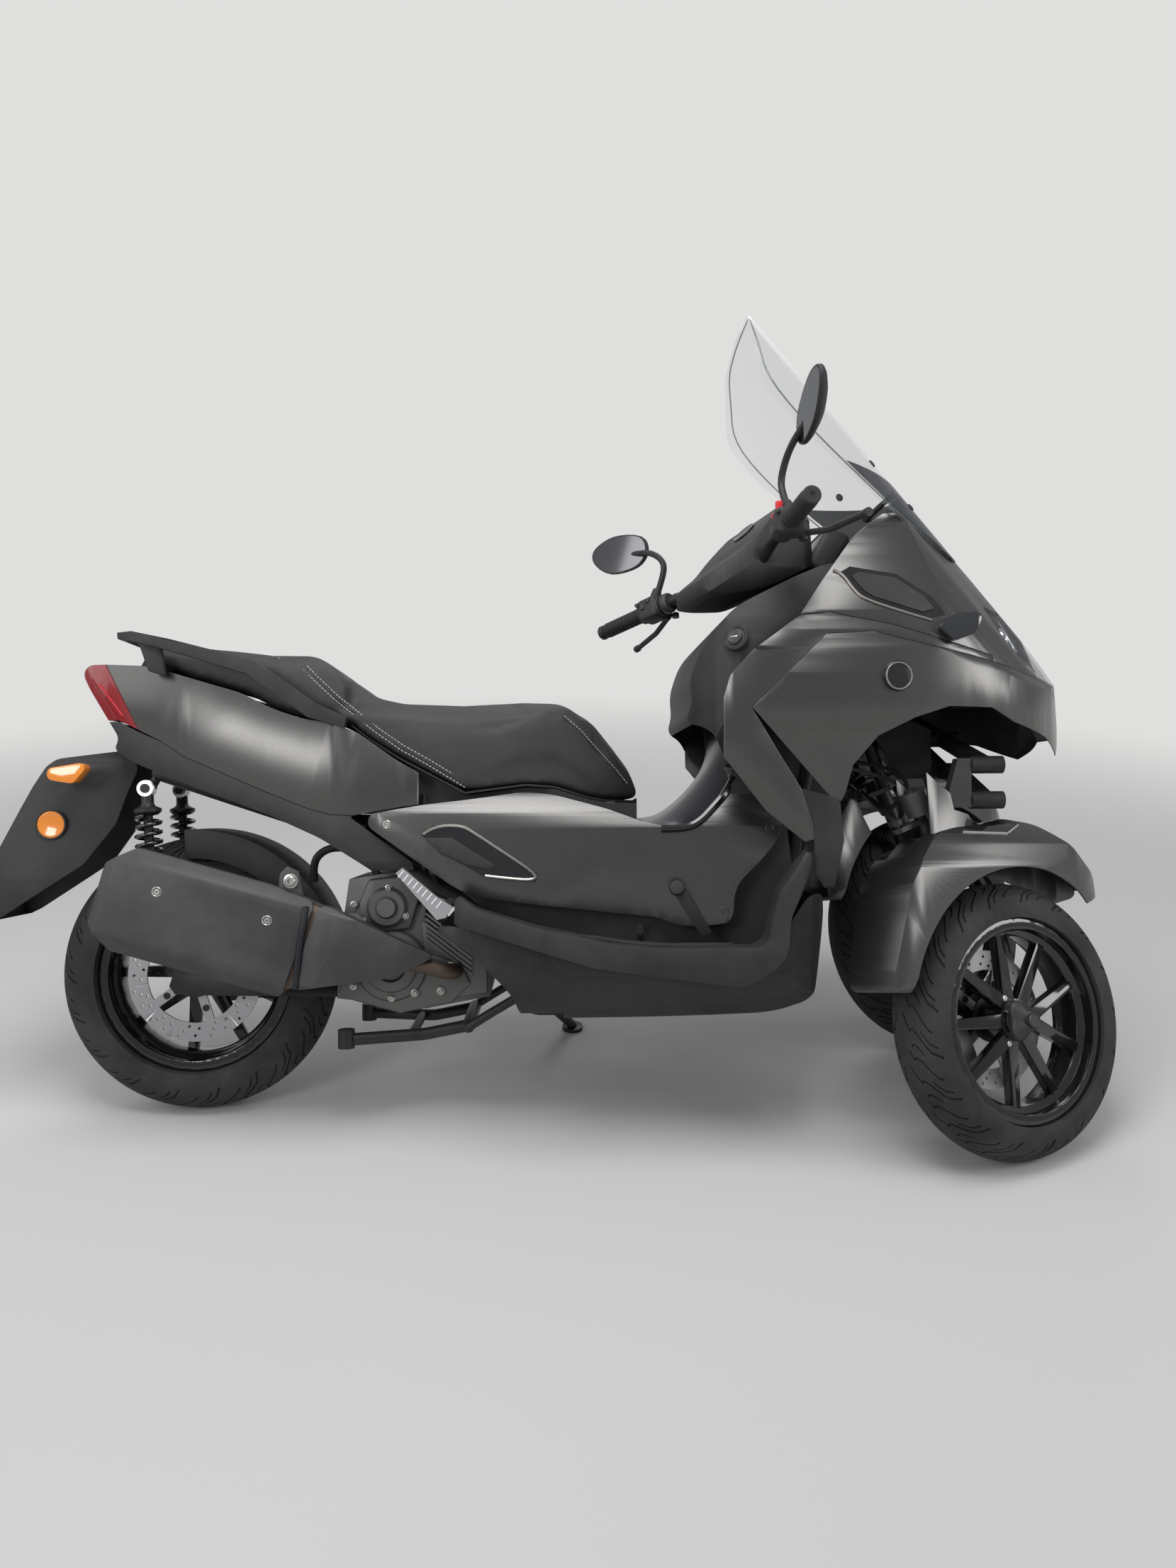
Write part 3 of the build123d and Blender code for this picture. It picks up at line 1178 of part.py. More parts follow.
# Swing arm on the right with the rear axle
SWING_SIDE = [(-34, 262), (-20, 306), (30, 308), (296, 264), (296, 237), (20, 244), (-22, 246)]
with BuildPart() as swing:
    extrude(outline(SWING_SIDE, Plane.XZ.offset(SWING_IN)), amount=SWING_OUT - SWING_IN)
    add(rod((0, -SWING_IN - 4, REAR_TYRE_R), (0, HUB_IN, REAR_TYRE_R), AXLE_R))
    add(rod((0, -SWING_IN, REAR_TYRE_R), (0, -HUB_IN - 1, REAR_TYRE_R), AXLE_R + 4))
    add(rod((-67, -SHOCK_Y - 14, SHOCK_LOW), (-67, -SWING_IN + 4, SHOCK_LOW), 9))
    add(rod((-67, -SWING_IN + 4, SHOCK_LOW), (-10, -SWING_IN - 6, 294), 7))
on_chassis(swing.part, "swing_arm")

# Two spring shocks between the frame's rear cross tube and the drive
shock_solids = []
for s in (-1, 1):
    foot = Vector(-67, s * SHOCK_Y, SHOCK_LOW)
    head = SHOCK_TOP + Vector(0, s * SHOCK_Y, 0)
    up = (head - foot).normalized()
    with BuildPart() as shock:
        add(rod(foot + up * 10, head - up * 10, 9))
        add(rod(foot + up * 36, head - up * 42, SHOCK_R))
        for eye in (foot, head):
            add(rod(eye - Vector(0, 12, 0), eye + Vector(0, 12, 0), 16))
            add(
                rod(eye - Vector(0, 13, 0), eye + Vector(0, 13, 0), 9 + RUNNING_FIT),
                mode=Mode.SUBTRACT,
            )
    shock_solids.append(shock.part)
on_chassis(Compound(children=shock_solids), "shock_absorbers")

# Muffler with its front pipe, and the shield on its outside
MUFFLER_SLOPE = 16.2
MUFFLER_Y = -172.0
MUFFLER_Z = 400.0
# Along the sloping can, and up or down from its line
MUFFLER_SIDE = [
    (-136, -42), (-94, -80), (228, -80), (262, -54), (424, 12), (470, 58), (288, 96), (158, 109),
]
MUFFLER_SIDE += [(-98, 109), (-140, 70)]
MUFFLER_PLAN = [(-140, 26), (-120, 34), (0, 36), (290, 36), (424, 22), (474, 12)]
MUFFLER_FRONT = [(-84, 14), (-62, 31), (-30, 36), (66, 36), (92, 31), (112, 14)]
HEAT_SIDE = [
    (-147, -44), (-96, -86), (230, -87), (240, -74), (252, 106), (159, 115), (-100, 115), (-147, 72),
]
CONE_SIDE = [(250, -58), (268, -59), (432, 8), (492, 62), (484, 68), (288, 103), (262, 104)]
HEAT_PLAN = [(-150, 30), (-126, 41), (0, 42), (290, 42), (424, 28), (496, 14)]
HEAT_FRONT = [(-90, 16), (-64, 38), (-48, 42), (80, 42), (94, 38), (118, 16)]
HEAT_BEND = 16.0


def along_muffler(shape):
    """Slopes and places a piece that was drawn along the muffler's own line."""
    return shape.rotate(Axis.Y, MUFFLER_SLOPE).translate((0, MUFFLER_Y, MUFFLER_Z))


can = along_muffler(profiled(MUFFLER_SIDE, MUFFLER_PLAN, MUFFLER_FRONT, HEAT_BEND))
with BuildPart() as muffler:
    add(can)
    add(tube([(420, -170, 318), (530, -170, 290), (530, -118.2, 290)], 30, 15))
    add(rod((120, -SWING_OUT - 0.2, 288), (120, MUFFLER_Y + 20, 288), 8))
on_chassis(muffler.part, "muffler")
shield_solids = []
for side in (HEAT_SIDE, CONE_SIDE):
    with BuildPart() as shield:
        add(along_muffler(profiled(side, HEAT_PLAN, HEAT_FRONT, HEAT_BEND)))
        outside = [(-400, MUFFLER_Y - 6), (700, MUFFLER_Y - 6), (700, -400), (-400, -400)]
        extrude(outline(outside, Plane.XY), amount=900, mode=Mode.INTERSECT)
        add(muffler.part, mode=Mode.SUBTRACT)
    shield_solids.append(shield.part)
on_chassis(Compound(children=shield_solids), "muffler_heat_shield")

# Rear mudguard close over the tyre, fixed to the engine
HUGGER_R = 290.0
with BuildPart() as hugger:
    with BuildSketch(Plane.XZ.offset(-78)):
        with Locations((0, REAR_TYRE_R)):
            Circle(HUGGER_R + 4)
            Circle(HUGGER_R, mode=Mode.SUBTRACT)
    extrude(amount=156)
    for s in (-1, 1):
        with BuildSketch(Plane.XZ.offset(s * 76)):
            with Locations((0, REAR_TYRE_R)):
                Circle(HUGGER_R + 4)
                Circle(236, mode=Mode.SUBTRACT)
        extrude(amount=4, both=True)
    sector = [(0, REAR_TYRE_R), (420, 300), (420, 700), (-20, 700)]
    extrude(outline(sector, Plane.XZ), amount=100, both=True, mode=Mode.INTERSECT)
    add(rod((284, -30, 340), (312, -30, 340), 9))
    add(rod((284, 30, 340), (312, 30, 340), 9))
    add(engine.part, mode=Mode.SUBTRACT)
on_chassis(hugger.part, "rear_hugger")

# Plate holder and flap behind the rear wheel, with its two lamps
HOLDER_BEND = 40.0
LAMP_IN = 92.0
HOLDER_SIDE = [
    (-273, 714), (-147.7, 729.9), (-107.4, 703.7), (-130, 650), (-152, 582), (-212, 502), (-366, 402),
    (-398, 386), (-406, 474),
]
HOLDER_SIDE += [(-342, 610), (-318, 658), (-294, 698)]
HOLDER_PLAN = [(-420, 90), (-90, 90)]
HOLDER_FRONT = [(370, 86), (470, 84), (600, 68), (740, 54)]
holder_core = [
    (-268, 708), (-160, 722), (-90, 690), (-120, 560), (-200, 480), (-360, 380), (-394, 392),
    (-400, 473),
]
holder_core += [(-337, 608), (-313, 656), (-290, 694)]
with BuildPart() as plate_holder:
    add(profiled(HOLDER_SIDE, HOLDER_PLAN, HOLDER_FRONT, HOLDER_BEND))
    add(
        profiled(holder_core, HOLDER_PLAN, narrower(HOLDER_FRONT, SKIN), HOLDER_BEND),
        mode=Mode.SUBTRACT,
    )
    for s in (-1, 1):
        add(rod((-228, s * 40, 685), (-228, s * LAMP_IN, 685), 9))
on_chassis(plate_holder.part, "plate_holder")
REAR_LAMP = [(-263, 692), (-263, 670), (-214, 662), (-177, 706)]
with BuildPart() as rear_lamps:
    for s in (-1, 1):
        extrude(
            outline(REAR_LAMP, Plane.XZ.offset(-s * (LAMP_IN + 16)), LAMP_BEND),
            amount=16,
            both=True,
        )
on_chassis(rear_lamps.part, "rear_indicators")

# Grab rail round the pillion's seat
with BuildPart() as grab_rail:
    rail = [
        (318, 170, 772), (207, 160, 838), (140, 152, 886), (-20, 144, 928), (-112, 126, 946),
        (-128, 60, 948),
    ]
    whole = rail + [(x, -y, z) for x, y, z in reversed(rail)]
    add(tube(whole, 22, 10))
    for s in (-1, 1):
        add(rod((-60, s * 138, 938), (-60, s * 112, 880), 7))
    add(tail_envelope, mode=Mode.SUBTRACT)
on_chassis(grab_rail.part, "grab_rails")

# Pillion pegs, folded up against the side covers
PEG_SIDE = [(427, 488), (440, 498), (504, 443), (532, 425), (520, 404), (503, 400)]
with BuildPart() as pegs:
    for s in (-1, 1):
        extrude(outline(PEG_SIDE, Plane.XZ.offset(s * 232)), amount=9, both=True)
        add(rod((548, s * 150, 434), (506, s * 236, 422), 9))
        add(
            tube(
                [(1150, s * RAIL_Y, 262), (700, s * RAIL_Y, 250), (560, s * 150, 420), (300, s * 142, 566)],
                [80, 60], 16.05,
            ),
            mode=Mode.SUBTRACT,
        )
on_chassis(pegs.part, "pillion_pegs")

# Stands
UP = Vector(0, -sin(radians(LEAN)), cos(radians(LEAN)))
SIDE_FOOT = Vector(770, 306, 92.9)
with BuildPart() as side_stand:
    add(rod(SIDE_PIVOT, SIDE_FOOT, 11))
    add(rod(SIDE_PIVOT - SIDE_PIN * 12, SIDE_PIVOT + SIDE_PIN * 12, 16))
    add(
        rod(SIDE_PIVOT - SIDE_PIN * 30, SIDE_PIVOT + SIDE_PIN * 30, 8 + RUNNING_FIT),
        mode=Mode.SUBTRACT,
    )
    with BuildSketch(Plane(SIDE_FOOT - UP * 9, z_dir=UP)):
        Circle(24)
    extrude(amount=8)
on_chassis(side_stand.part, "side_stand")
with BuildPart() as centre_stand:
    add(rod((CENTRE_PIVOT[0], -111, CENTRE_PIVOT[1]), (CENTRE_PIVOT[0], 111, CENTRE_PIVOT[1]), 13))
    for s in (-1, 1):
        add(
            tube(
                [(CENTRE_PIVOT[0], s * 100, CENTRE_PIVOT[1]), (465, s * 100, 160), (330, s * 140, 160)],
                60, 12,
            ),
        )
        add(rod((318, s * 142, 144), (318, s * 142, 180), 16))
    add(rod((440, -104, 160), (440, 104, 160), 9))
    add(
        rod((CENTRE_PIVOT[0], -130, CENTRE_PIVOT[1]), (CENTRE_PIVOT[0], 130, CENTRE_PIVOT[1]), 8.05),
        mode=Mode.SUBTRACT,
    )
on_chassis(centre_stand.part, "centre_stand")

# Controls, mirrors and the cover on the handlebar; a mirror's face is drawn outwards and up from its middle
MIRROR_FACE = [(-80, -24), (-40, -46), (40, -38), (92, 8), (84, 40), (20, 52), (-70, 24)]
MIRROR_BEND = 34.0
control_solids = []
mirror_solids = []
for s in (-1, 1):
    bend, end, run = bar_end(s)
    seat_at = end - run * (GRIP_LEN + 62)
    with BuildPart() as control:
        add(rod(seat_at, seat_at + run * 60, 23))
        add(rod(seat_at + run * 20, seat_at + run * 20 + Vector(36, s * 6, -14), 11))
        lever = [
            seat_at + run * 20 + Vector(34, s * 6, -14), seat_at + run * 90 + Vector(62, s * 8, -26),
            Vector(1080, s * 421, 1042),
        ]
        add(tube([tuple(v) for v in lever], 60, 6))
        add(rod(Vector(1080, s * 421, 1042), Vector(1079, s * 431, 1041), 8))
        add(rod(seat_at - run, seat_at + run * 61, BAR_R + RUNNING_FIT), mode=Mode.SUBTRACT)
    control_solids.append(control.part)
    with BuildPart() as mirror_piece:
        base = seat_at + run * 30 + Vector(4, 0, 20)
        stem = [tuple(base), (1054, s * 214, 1170), (1040, s * 322, 1238)]
        add(tube(stem, 24, 7))
        face = Plane((1016, s * 366, 1250), z_dir=(-1, -0.4 * s, 0), x_dir=(0.4 * s, -1, 0))
        housing = [(-s * across, up) for across, up in MIRROR_FACE]
        extrude(outline(housing, face, MIRROR_BEND), amount=-26, taper=12)
        add(rod(seat_at, seat_at + run * 60, 23 + RUNNING_FIT), mode=Mode.SUBTRACT)
    mirror_solids.append(mirror_piece.part)
on_bars(Compound(children=control_solids), "controls")
on_bars(Compound(children=mirror_solids), "mirrors")
COVER_SIDE = [
    (970, 1037), (986, 1003), (1100, 1026), (1140, 1044), (1238, 1094), (1224, 1169), (1158, 1220),
    (1055, 1103),
]
COVER_FRONT = [(1000, 50), (1040, 100), (1100, 118), (1170, 110), (1222, 70)]
COVER_PLAN = [(966, 46), (1010, 90), (1090, 118), (1240, 104)]
cover_core = [
    (976, 1036), (989, 1007), (1100, 1030), (1139, 1048), (1234, 1097), (1220, 1167), (1158, 1214),
    (1058, 1100),
]
with BuildPart() as bar_cover:
    add(profiled(COVER_SIDE, COVER_PLAN, COVER_FRONT, PANEL_BEND))
    add(
        profiled(cover_core, narrower(COVER_PLAN, SKIN), narrower(COVER_FRONT, SKIN), PANEL_BEND),
        mode=Mode.SUBTRACT,
    )
    add(handlebar.part, mode=Mode.SUBTRACT)
on_bars(bar_cover.part, "handlebar_cover")

# Main frame with the stays that carry the panels, each trimmed to its panel's inner face
STAY_R = 6.0
# From, to, and the hollow that the stay ends in
STAYS = [
    ((1430, 4, 790), (1400, 310, 876), front_core),
    ((1352, 10, 925), (1380, 300, 1010), front_core),
    ((1440, 8, 805), (1800, 60, 905), front_core),
    ((1240, 118, 705), (1060, 278, 864), shield_core),
    ((900, 120, 252), (880, 240, 450), tunnel_core),
    ((500, 148, 456), (486, 220, 506), tunnel_core),
    ((1000, 122, 258), (1000, 290, 262), belly_core),
    ((120, 114, 628), (130, 210, 760), tail_core),
]
with BuildPart() as main_frame:
    add(frame.part)
    for start, end, hollow in STAYS:
        for s in (-1, 1):
            stay = rod((start[0], s * start[1], start[2]), (end[0], s * end[1], end[2]), STAY_R)
            add(stay & hollow)
    for s in (-1, 1):
        # Engine hangers, shock mounts and the storage bin's posts
        add(rod((496, s * 148, 458), (430, s * 100, 410), 10))
        add(rod((-60, s * 82, 684), (-78, s * 84, 652), 9))
        add(rod((-78, s * 80, 652), (-78, s * 118, 652), 9))
        add(rod((470, s * 147, 476), (470, s * 147, 636), 6))
        add(rod((470, s * 147, 630), (470, s * BIN_HALF, 630), 6))
    add(engine.part, mode=Mode.SUBTRACT)
on_chassis(main_frame.part, "main_frame")
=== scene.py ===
"""Looks of a leaning three-wheel scooter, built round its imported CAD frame."""

import logging
import math
from collections.abc import Callable, Sequence
from dataclasses import dataclass
from enum import Enum

import bpy
from mathutils import Matrix, Vector
from mathutils.bvhtree import BVHTree


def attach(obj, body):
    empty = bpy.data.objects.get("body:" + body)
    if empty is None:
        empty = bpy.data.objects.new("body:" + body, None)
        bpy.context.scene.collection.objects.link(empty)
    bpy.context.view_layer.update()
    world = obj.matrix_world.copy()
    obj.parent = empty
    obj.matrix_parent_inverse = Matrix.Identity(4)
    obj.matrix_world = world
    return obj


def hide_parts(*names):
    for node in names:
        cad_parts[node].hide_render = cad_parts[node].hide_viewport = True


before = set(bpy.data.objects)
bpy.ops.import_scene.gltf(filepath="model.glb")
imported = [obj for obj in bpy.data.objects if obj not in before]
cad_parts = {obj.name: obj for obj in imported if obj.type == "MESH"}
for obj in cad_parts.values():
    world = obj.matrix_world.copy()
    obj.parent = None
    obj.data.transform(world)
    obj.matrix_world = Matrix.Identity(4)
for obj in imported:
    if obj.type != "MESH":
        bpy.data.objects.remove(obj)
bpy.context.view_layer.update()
BUILT: dict[str, bpy.types.Material] = {}
log = logging.getLogger("scooter")
logging.basicConfig(level=logging.INFO, format="%(message)s")

Color = tuple[float, float, float]
Point = tuple[float, float, float]
Path = tuple[Point, ...]
Outline = Sequence[tuple[float, float]]

# The machine is described upright, in millimetres, and is then leaned and set in the frame's metres
LEANED = Matrix.Rotation(math.radians(-15.7), 4, "X")
MM = Matrix.Scale(0.001, 4)
TYRE_CORE = 0.068
UPRIGHT = Matrix.Translation((-0.7175, -0.159, TYRE_CORE)) @ LEANED @ Matrix.Translation((0, 0, -TYRE_CORE)) @ MM
CASTER = Vector((-0.34202, 0, 0.939693))
STEER = math.radians(24)
SPIN_AXES = {"front": LEANED @ Matrix.Rotation(STEER, 4, CASTER), "rear": LEANED}
BAR_PIVOT = Vector((0.63613, 0.05261, 0.82082))
BARS = (
    Matrix.Translation(BAR_PIVOT)
    @ Matrix.Rotation(STEER, 4, Vector((-0.34202, 0.254281, 0.904634)))
    @ Matrix.Translation(-BAR_PIVOT)
    @ UPRIGHT
)
OUTBOARD = Matrix.Rotation(math.radians(90), 4, "X")
HANDS = ((-1, "right"), (1, "left"))
# How far a face's normal has to reach along an axis to count as facing that way
FLAT = 0.9
FLAKE_TONE = (0.5, 0.49, 0.47, 1)


class Grain(Enum):
    """How a surface is broken up."""

    SMOOTH = 0
    FINE = 1
    WEAVE = 2
    CAST = 3
    BRUSHED = 4


class Graph:
    """A node tree whose nodes are added with their settings and sockets in one call."""

    def __init__(self, tree: bpy.types.NodeTree) -> None:
        """Takes a tree over."""
        self.nodes = tree.nodes
        self.links = tree.links

    def feed(self, node: bpy.types.Node, sockets: dict[int | str, object]) -> bpy.types.Node:
        """Sets input sockets: a socket is linked to them, and anything else is their constant."""
        for key, value in sockets.items():
            if isinstance(value, bpy.types.NodeSocket):
                self.links.new(value, node.inputs[key])
            else:
                node.inputs[key].default_value = value
        return node

    def add(self, kind: str, sockets: dict[int | str, object], **settings: object) -> bpy.types.Node:
        """Adds one shader node.

        Args:
            kind: the node's type without its prefix.
            sockets: what its input sockets get.
            settings: the node's own options.

        Returns:
            The node.
        """
        node = self.nodes.new(f"ShaderNode{kind}")
        for key, value in settings.items():
            setattr(node, key, value)
        return self.feed(node, sockets)


@dataclass(frozen=True)
class Finish:
    """One finish: a principled surface with procedural grain, dust and wear.

    Sizes are in metres. Mottling mixes in a lighter dusty tone, and flake breaks the colour up finely.
    """

    name: str
    color: Color
    roughness: float
    metallic: float = 0.0
    grain: Grain = Grain.SMOOTH
    grain_size: float = 0.0012
    grain_depth: float = 0.0
    mottling: float = 0.0
    flake: float = 0.0
    coat: float = 0.0
    coat_roughness: float = 0.1
    specular: float = 0.4
    dust: Color = (0.2, 0.19, 0.18)

    def build(self) -> bpy.types.Material:
        """Makes the node material once.

        Returns:
            The material of this finish.
        """
        if self.name in BUILT:
            return BUILT[self.name]
        material = BUILT[self.name] = bpy.data.materials.new(self.name)
        material.use_nodes = True
        graph = Graph(material.node_tree)
        shader = graph.feed(
            graph.nodes["Principled BSDF"],
            {
                "Base Color": (*self.color, 1),
                "Roughness": self.roughness,
                "Metallic": self.metallic,
                "Coat Weight": self.coat,
                "Coat Roughness": self.coat_roughness,
                "Specular IOR Level": self.specular,
            },
        )
        place = graph.add("TexCoord", {}).outputs["Object"]
        if self.mottling or self.flake:
            self._color(graph, shader, place)
        if self.grain is not Grain.SMOOTH:
            self._roughen(graph, shader, place)
        return material

    def _color(self, graph: Graph, shader: bpy.types.Node, place: bpy.types.NodeSocket) -> None:
        """Adds soft dusty patches and a fine flake to the colour, and duller shine where dusty."""
        patches = graph.add("TexNoise", {"Scale": 7, "Detail": 9, "Roughness": 0.68, "Vector": place}).outputs["Fac"]
        spread = graph.add("MapRange", {"From Min": 0.4, "From Max": 0.8, "To Max": self.mottling, "Value": patches})
        sockets = {"A": (*self.color, 1), "B": (*self.dust, 1), "Factor": spread.outputs["Result"]}
        tone = graph.add("Mix", sockets, data_type="RGBA").outputs["Result"]
        if self.flake:
            specks = graph.add("TexNoise", {"Scale": 900, "Detail": 2, "Vector": place}).outputs["Fac"]
            bright = graph.add("MapRange", {"From Min": 0.35, "From Max": 0.7, "To Max": self.flake, "Value": specks})
            sockets = {"A": tone, "B": FLAKE_TONE, "Factor": bright.outputs["Result"]}
            tone = graph.add("Mix", sockets, data_type="RGBA", blend_type="ADD").outputs["Result"]
        dull = min(1.0, self.roughness + self.mottling)
        shine = graph.add("MapRange", {"To Min": self.roughness, "To Max": dull, "Value": patches})
        graph.feed(shader, {"Base Color": tone, "Roughness": shine.outputs["Result"]})

    def _roughen(self, graph: Graph, shader: bpy.types.Node, place: bpy.types.NodeSocket) -> None:
        """Adds the bump of the chosen grain."""
        fine = 1 / self.grain_size
        if self.grain is Grain.WEAVE:
            dots = graph.add("TexVoronoi", {"Scale": fine, "Randomness": 0.12, "Vector": place}, feature="F1")
            height = dots.outputs["Distance"]
        else:
            if self.grain is Grain.BRUSHED:
                place = graph.add("Mapping", {"Scale": (0.05, 1, 1), "Vector": place}).outputs["Vector"]
            detail = 3 if self.grain is Grain.FINE else 6
            height = graph.add("TexNoise", {"Scale": fine, "Detail": detail, "Vector": place}).outputs["Fac"]
        bump = graph.add("Bump", {"Distance": self.grain_depth, "Strength": 0.6, "Height": height})
        graph.feed(shader, {"Normal": bump.outputs["Normal"]})


@dataclass(frozen=True)
class ClearSheet:
    """Clear or tinted plastic sheet."""

    name: str
    tint: Color
    roughness: float
    alpha: float
    ior: float = 1.49

    def build(self) -> bpy.types.Material:
        """Makes the clear material once.

        Returns:
            The material of this sheet.
        """
        if self.name in BUILT:
            return BUILT[self.name]
        material = BUILT[self.name] = bpy.data.materials.new(self.name)
        material.use_nodes = True
        graph = Graph(material.node_tree)
        sockets = {"Base Color": (*self.tint, 1), "Roughness": self.roughness, "IOR": self.ior, "Alpha": self.alpha}
        graph.feed(graph.nodes["Principled BSDF"], sockets)
        return material


BODY_PAINT = Finish("body_paint", (0.088, 0.086, 0.084), 0.31, 0.92, Grain.FINE, 0.0006, 0.00002, 0.04, 0.06, 0.2, 0.28)
DARK_PLASTIC = Finish("dark_plastic", (0.016, 0.016, 0.0175), 0.55, 0.0, Grain.CAST, 0.0013, 0.00016, 0.12)
GLOSS_BLACK = Finish("gloss_black", (0.008, 0.008, 0.009), 0.12, mottling=0.03, coat=0.6, coat_roughness=0.05)
TUNNEL_GLOSS = Finish("tunnel_gloss", (0.006, 0.006, 0.009), 0.24, mottling=0.03, specular=0.25)
FRAME_BLACK = Finish("frame_black", (0.012, 0.012, 0.013), 0.4, 0.2, mottling=0.12)
RIM_BLACK = Finish("rim_black", (0.007, 0.007, 0.008), 0.16, 0.3, mottling=0.05, coat=0.7, coat_roughness=0.08)
TYRE_RUBBER = Finish("tyre_rubber", (0.016, 0.016, 0.017), 0.74, 0.0, Grain.FINE, 0.0015, 0.0001, 0.22)
DISC_STEEL = Finish("disc_steel", (0.36, 0.36, 0.37), 0.34, 1.0, Grain.BRUSHED, 0.0008, 0.00002, 0.1)
DISC_CARRIER = Finish("disc_carrier", (0.02, 0.02, 0.021), 0.45, 0.3, mottling=0.1)
CAST_ALLOY = Finish("cast_alloy", (0.13, 0.128, 0.125), 0.46, 0.8, Grain.CAST, 0.002, 0.00012, 0.2)
BRIGHT_ALLOY = Finish("bright_alloy", (0.6, 0.6, 0.61), 0.28, 1.0, Grain.FINE, 0.001, 0.00003, 0.08)
DARK_ALLOY = Finish("dark_alloy", (0.05, 0.05, 0.052), 0.42, 0.5, Grain.CAST, 0.001, 0.00006, 0.12)
CHROME = Finish("chrome", (0.34, 0.32, 0.3), 0.26, 1.0, mottling=0.05)
BOLT_STEEL = Finish("bolt_steel", (0.45, 0.44, 0.42), 0.3, 1.0, mottling=0.15)
LEG_BLACK = Finish("leg_black", (0.015, 0.015, 0.016), 0.4, 0.2, Grain.CAST, 0.002, 0.00008, 0.1)
CALIPER = Finish("caliper_paint", (0.16, 0.155, 0.15), 0.42, 0.7, Grain.CAST, 0.0015, 0.00008, 0.12)
SEAT_VINYL = Finish("seat_vinyl", (0.03, 0.03, 0.032), 0.6, 0.0, Grain.WEAVE, 0.0026, 0.0005, 0.08)
SEAT_PIPING = Finish("seat_piping", (0.02, 0.02, 0.021), 0.5, mottling=0.05)
STITCH = Finish("stitch_thread", (0.5, 0.5, 0.48), 0.7, mottling=0.1)
GRIP_RUBBER = Finish("grip_rubber", (0.011, 0.011, 0.012), 0.66, grain=Grain.FINE, grain_depth=0.0001)
SHIELD_PAINT = Finish("shield_paint", (0.062, 0.061, 0.062), 0.4, 0.6, Grain.BRUSHED, 0.0008, 0.00005, 0.3)
RUST = (0.12, 0.07, 0.045)
EXHAUST = Finish("exhaust_steel", (0.11, 0.085, 0.07), 0.42, 0.9, Grain.CAST, 0.002, 0.00008, 0.35, dust=RUST)
DARK_BAND = Finish("dark_band", (0.018, 0.02, 0.024), 0.4, 0.5, mottling=0.1)
RED_LENS = Finish("red_lens", (0.2, 0.004, 0.008), 0.22, coat=0.4, coat_roughness=0.08)
RED_PLASTIC = Finish("red_plastic", (0.5, 0.01, 0.02), 0.35, mottling=0.04)
AMBER_LENS = Finish("amber_lens", (0.75, 0.24, 0.03), 0.15, coat=0.8, coat_roughness=0.05)
SMOKED_LENS = Finish("smoked_lens", (0.02, 0.021, 0.024), 0.08, coat=0.8, coat_roughness=0.04)
# Mirror glass as a dim metal: its low reflectance is a painted dark reflection, not the glass's own silvering
MIRROR_GLASS_PAINTED_DARK = Finish("mirror_glass", (0.2, 0.2, 0.21), 0.06, 1.0)
SCREEN = ClearSheet("screen_clear", (0.35, 0.37, 0.38), 0.03, 0.1)
SCREEN_RIM = ClearSheet("screen_rim", (0.12, 0.13, 0.14), 0.1, 0.6)
SCREEN_BAND = ClearSheet("screen_smoked", (0.03, 0.032, 0.036), 0.08, 0.78)
LENS = ClearSheet("lens_clear", (0.1, 0.105, 0.11), 0.04, 0.24)
LAMP_REFLECTOR = Finish("lamp_reflector", (0.7, 0.71, 0.73), 0.12, 1.0, mottling=0.03)

# The CAD nodes that wear each finish
NODE_FINISHES: tuple[tuple[Finish | ClearSheet, str], ...] = (
    (BODY_PAINT, "front_cowl upper_cowl side_covers tail_cover cowl_frame front_mudguard_right front_mudguard_left"),
    (DARK_PLASTIC, "footboards lower_leg_panel leg_shield belly_cover tail_undercover rear_hugger plate_holder "
                   "handlebar_cover controls mirrors grab_rails storage_bin seat_base"),
    (FRAME_BLACK, "main_frame windscreen_stay handlebar side_stand centre_stand tie_rod swing_arm shock_absorbers "
                  "upper_tilt_arm lower_tilt_arm"),
    (RIM_BLACK, "front_rim_right front_rim_left rear_rim"),
    (TYRE_RUBBER, "front_tyre_right front_tyre_left rear_tyre"),
    (DISC_STEEL, "front_brake_disc_right front_brake_disc_left rear_brake_disc"),
    (CAST_ALLOY, "engine_unit"),
    (DARK_ALLOY, "kingpin_housing_right kingpin_housing_left"),
    (LEG_BLACK, "front_leg_right front_leg_left"),
    (CALIPER, "front_caliper_right front_caliper_left"),
    (SEAT_VINYL, "seat_cushion"),
    (BRIGHT_ALLOY, "pillion_pegs"),
    (GRIP_RUBBER, "handlebar_grips"),
    (SHIELD_PAINT, "muffler_heat_shield"),
    (EXHAUST, "muffler"),
    (RED_LENS, "tail_light"),
    (AMBER_LENS, "rear_indicators"),
    (SMOKED_LENS, "front_indicators"),
    (SCREEN, "windscreen"),
    (LENS, "headlamp"),
)


def dress(node: str, finish: Finish | ClearSheet) -> None:
    """Gives a CAD node its finish."""
    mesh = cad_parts[node].data
    mesh.materials.clear()
    mesh.materials.append(finish.build())


def merged_copy(node: str) -> bpy.types.Mesh:
    """Copies a CAD node's mesh, so that the copy can be merged and shaped.

    Args:
        node: the CAD node's name.

    Returns:
        The copied mesh, in the frame's metres.
    """
    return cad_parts[node].data.copy()


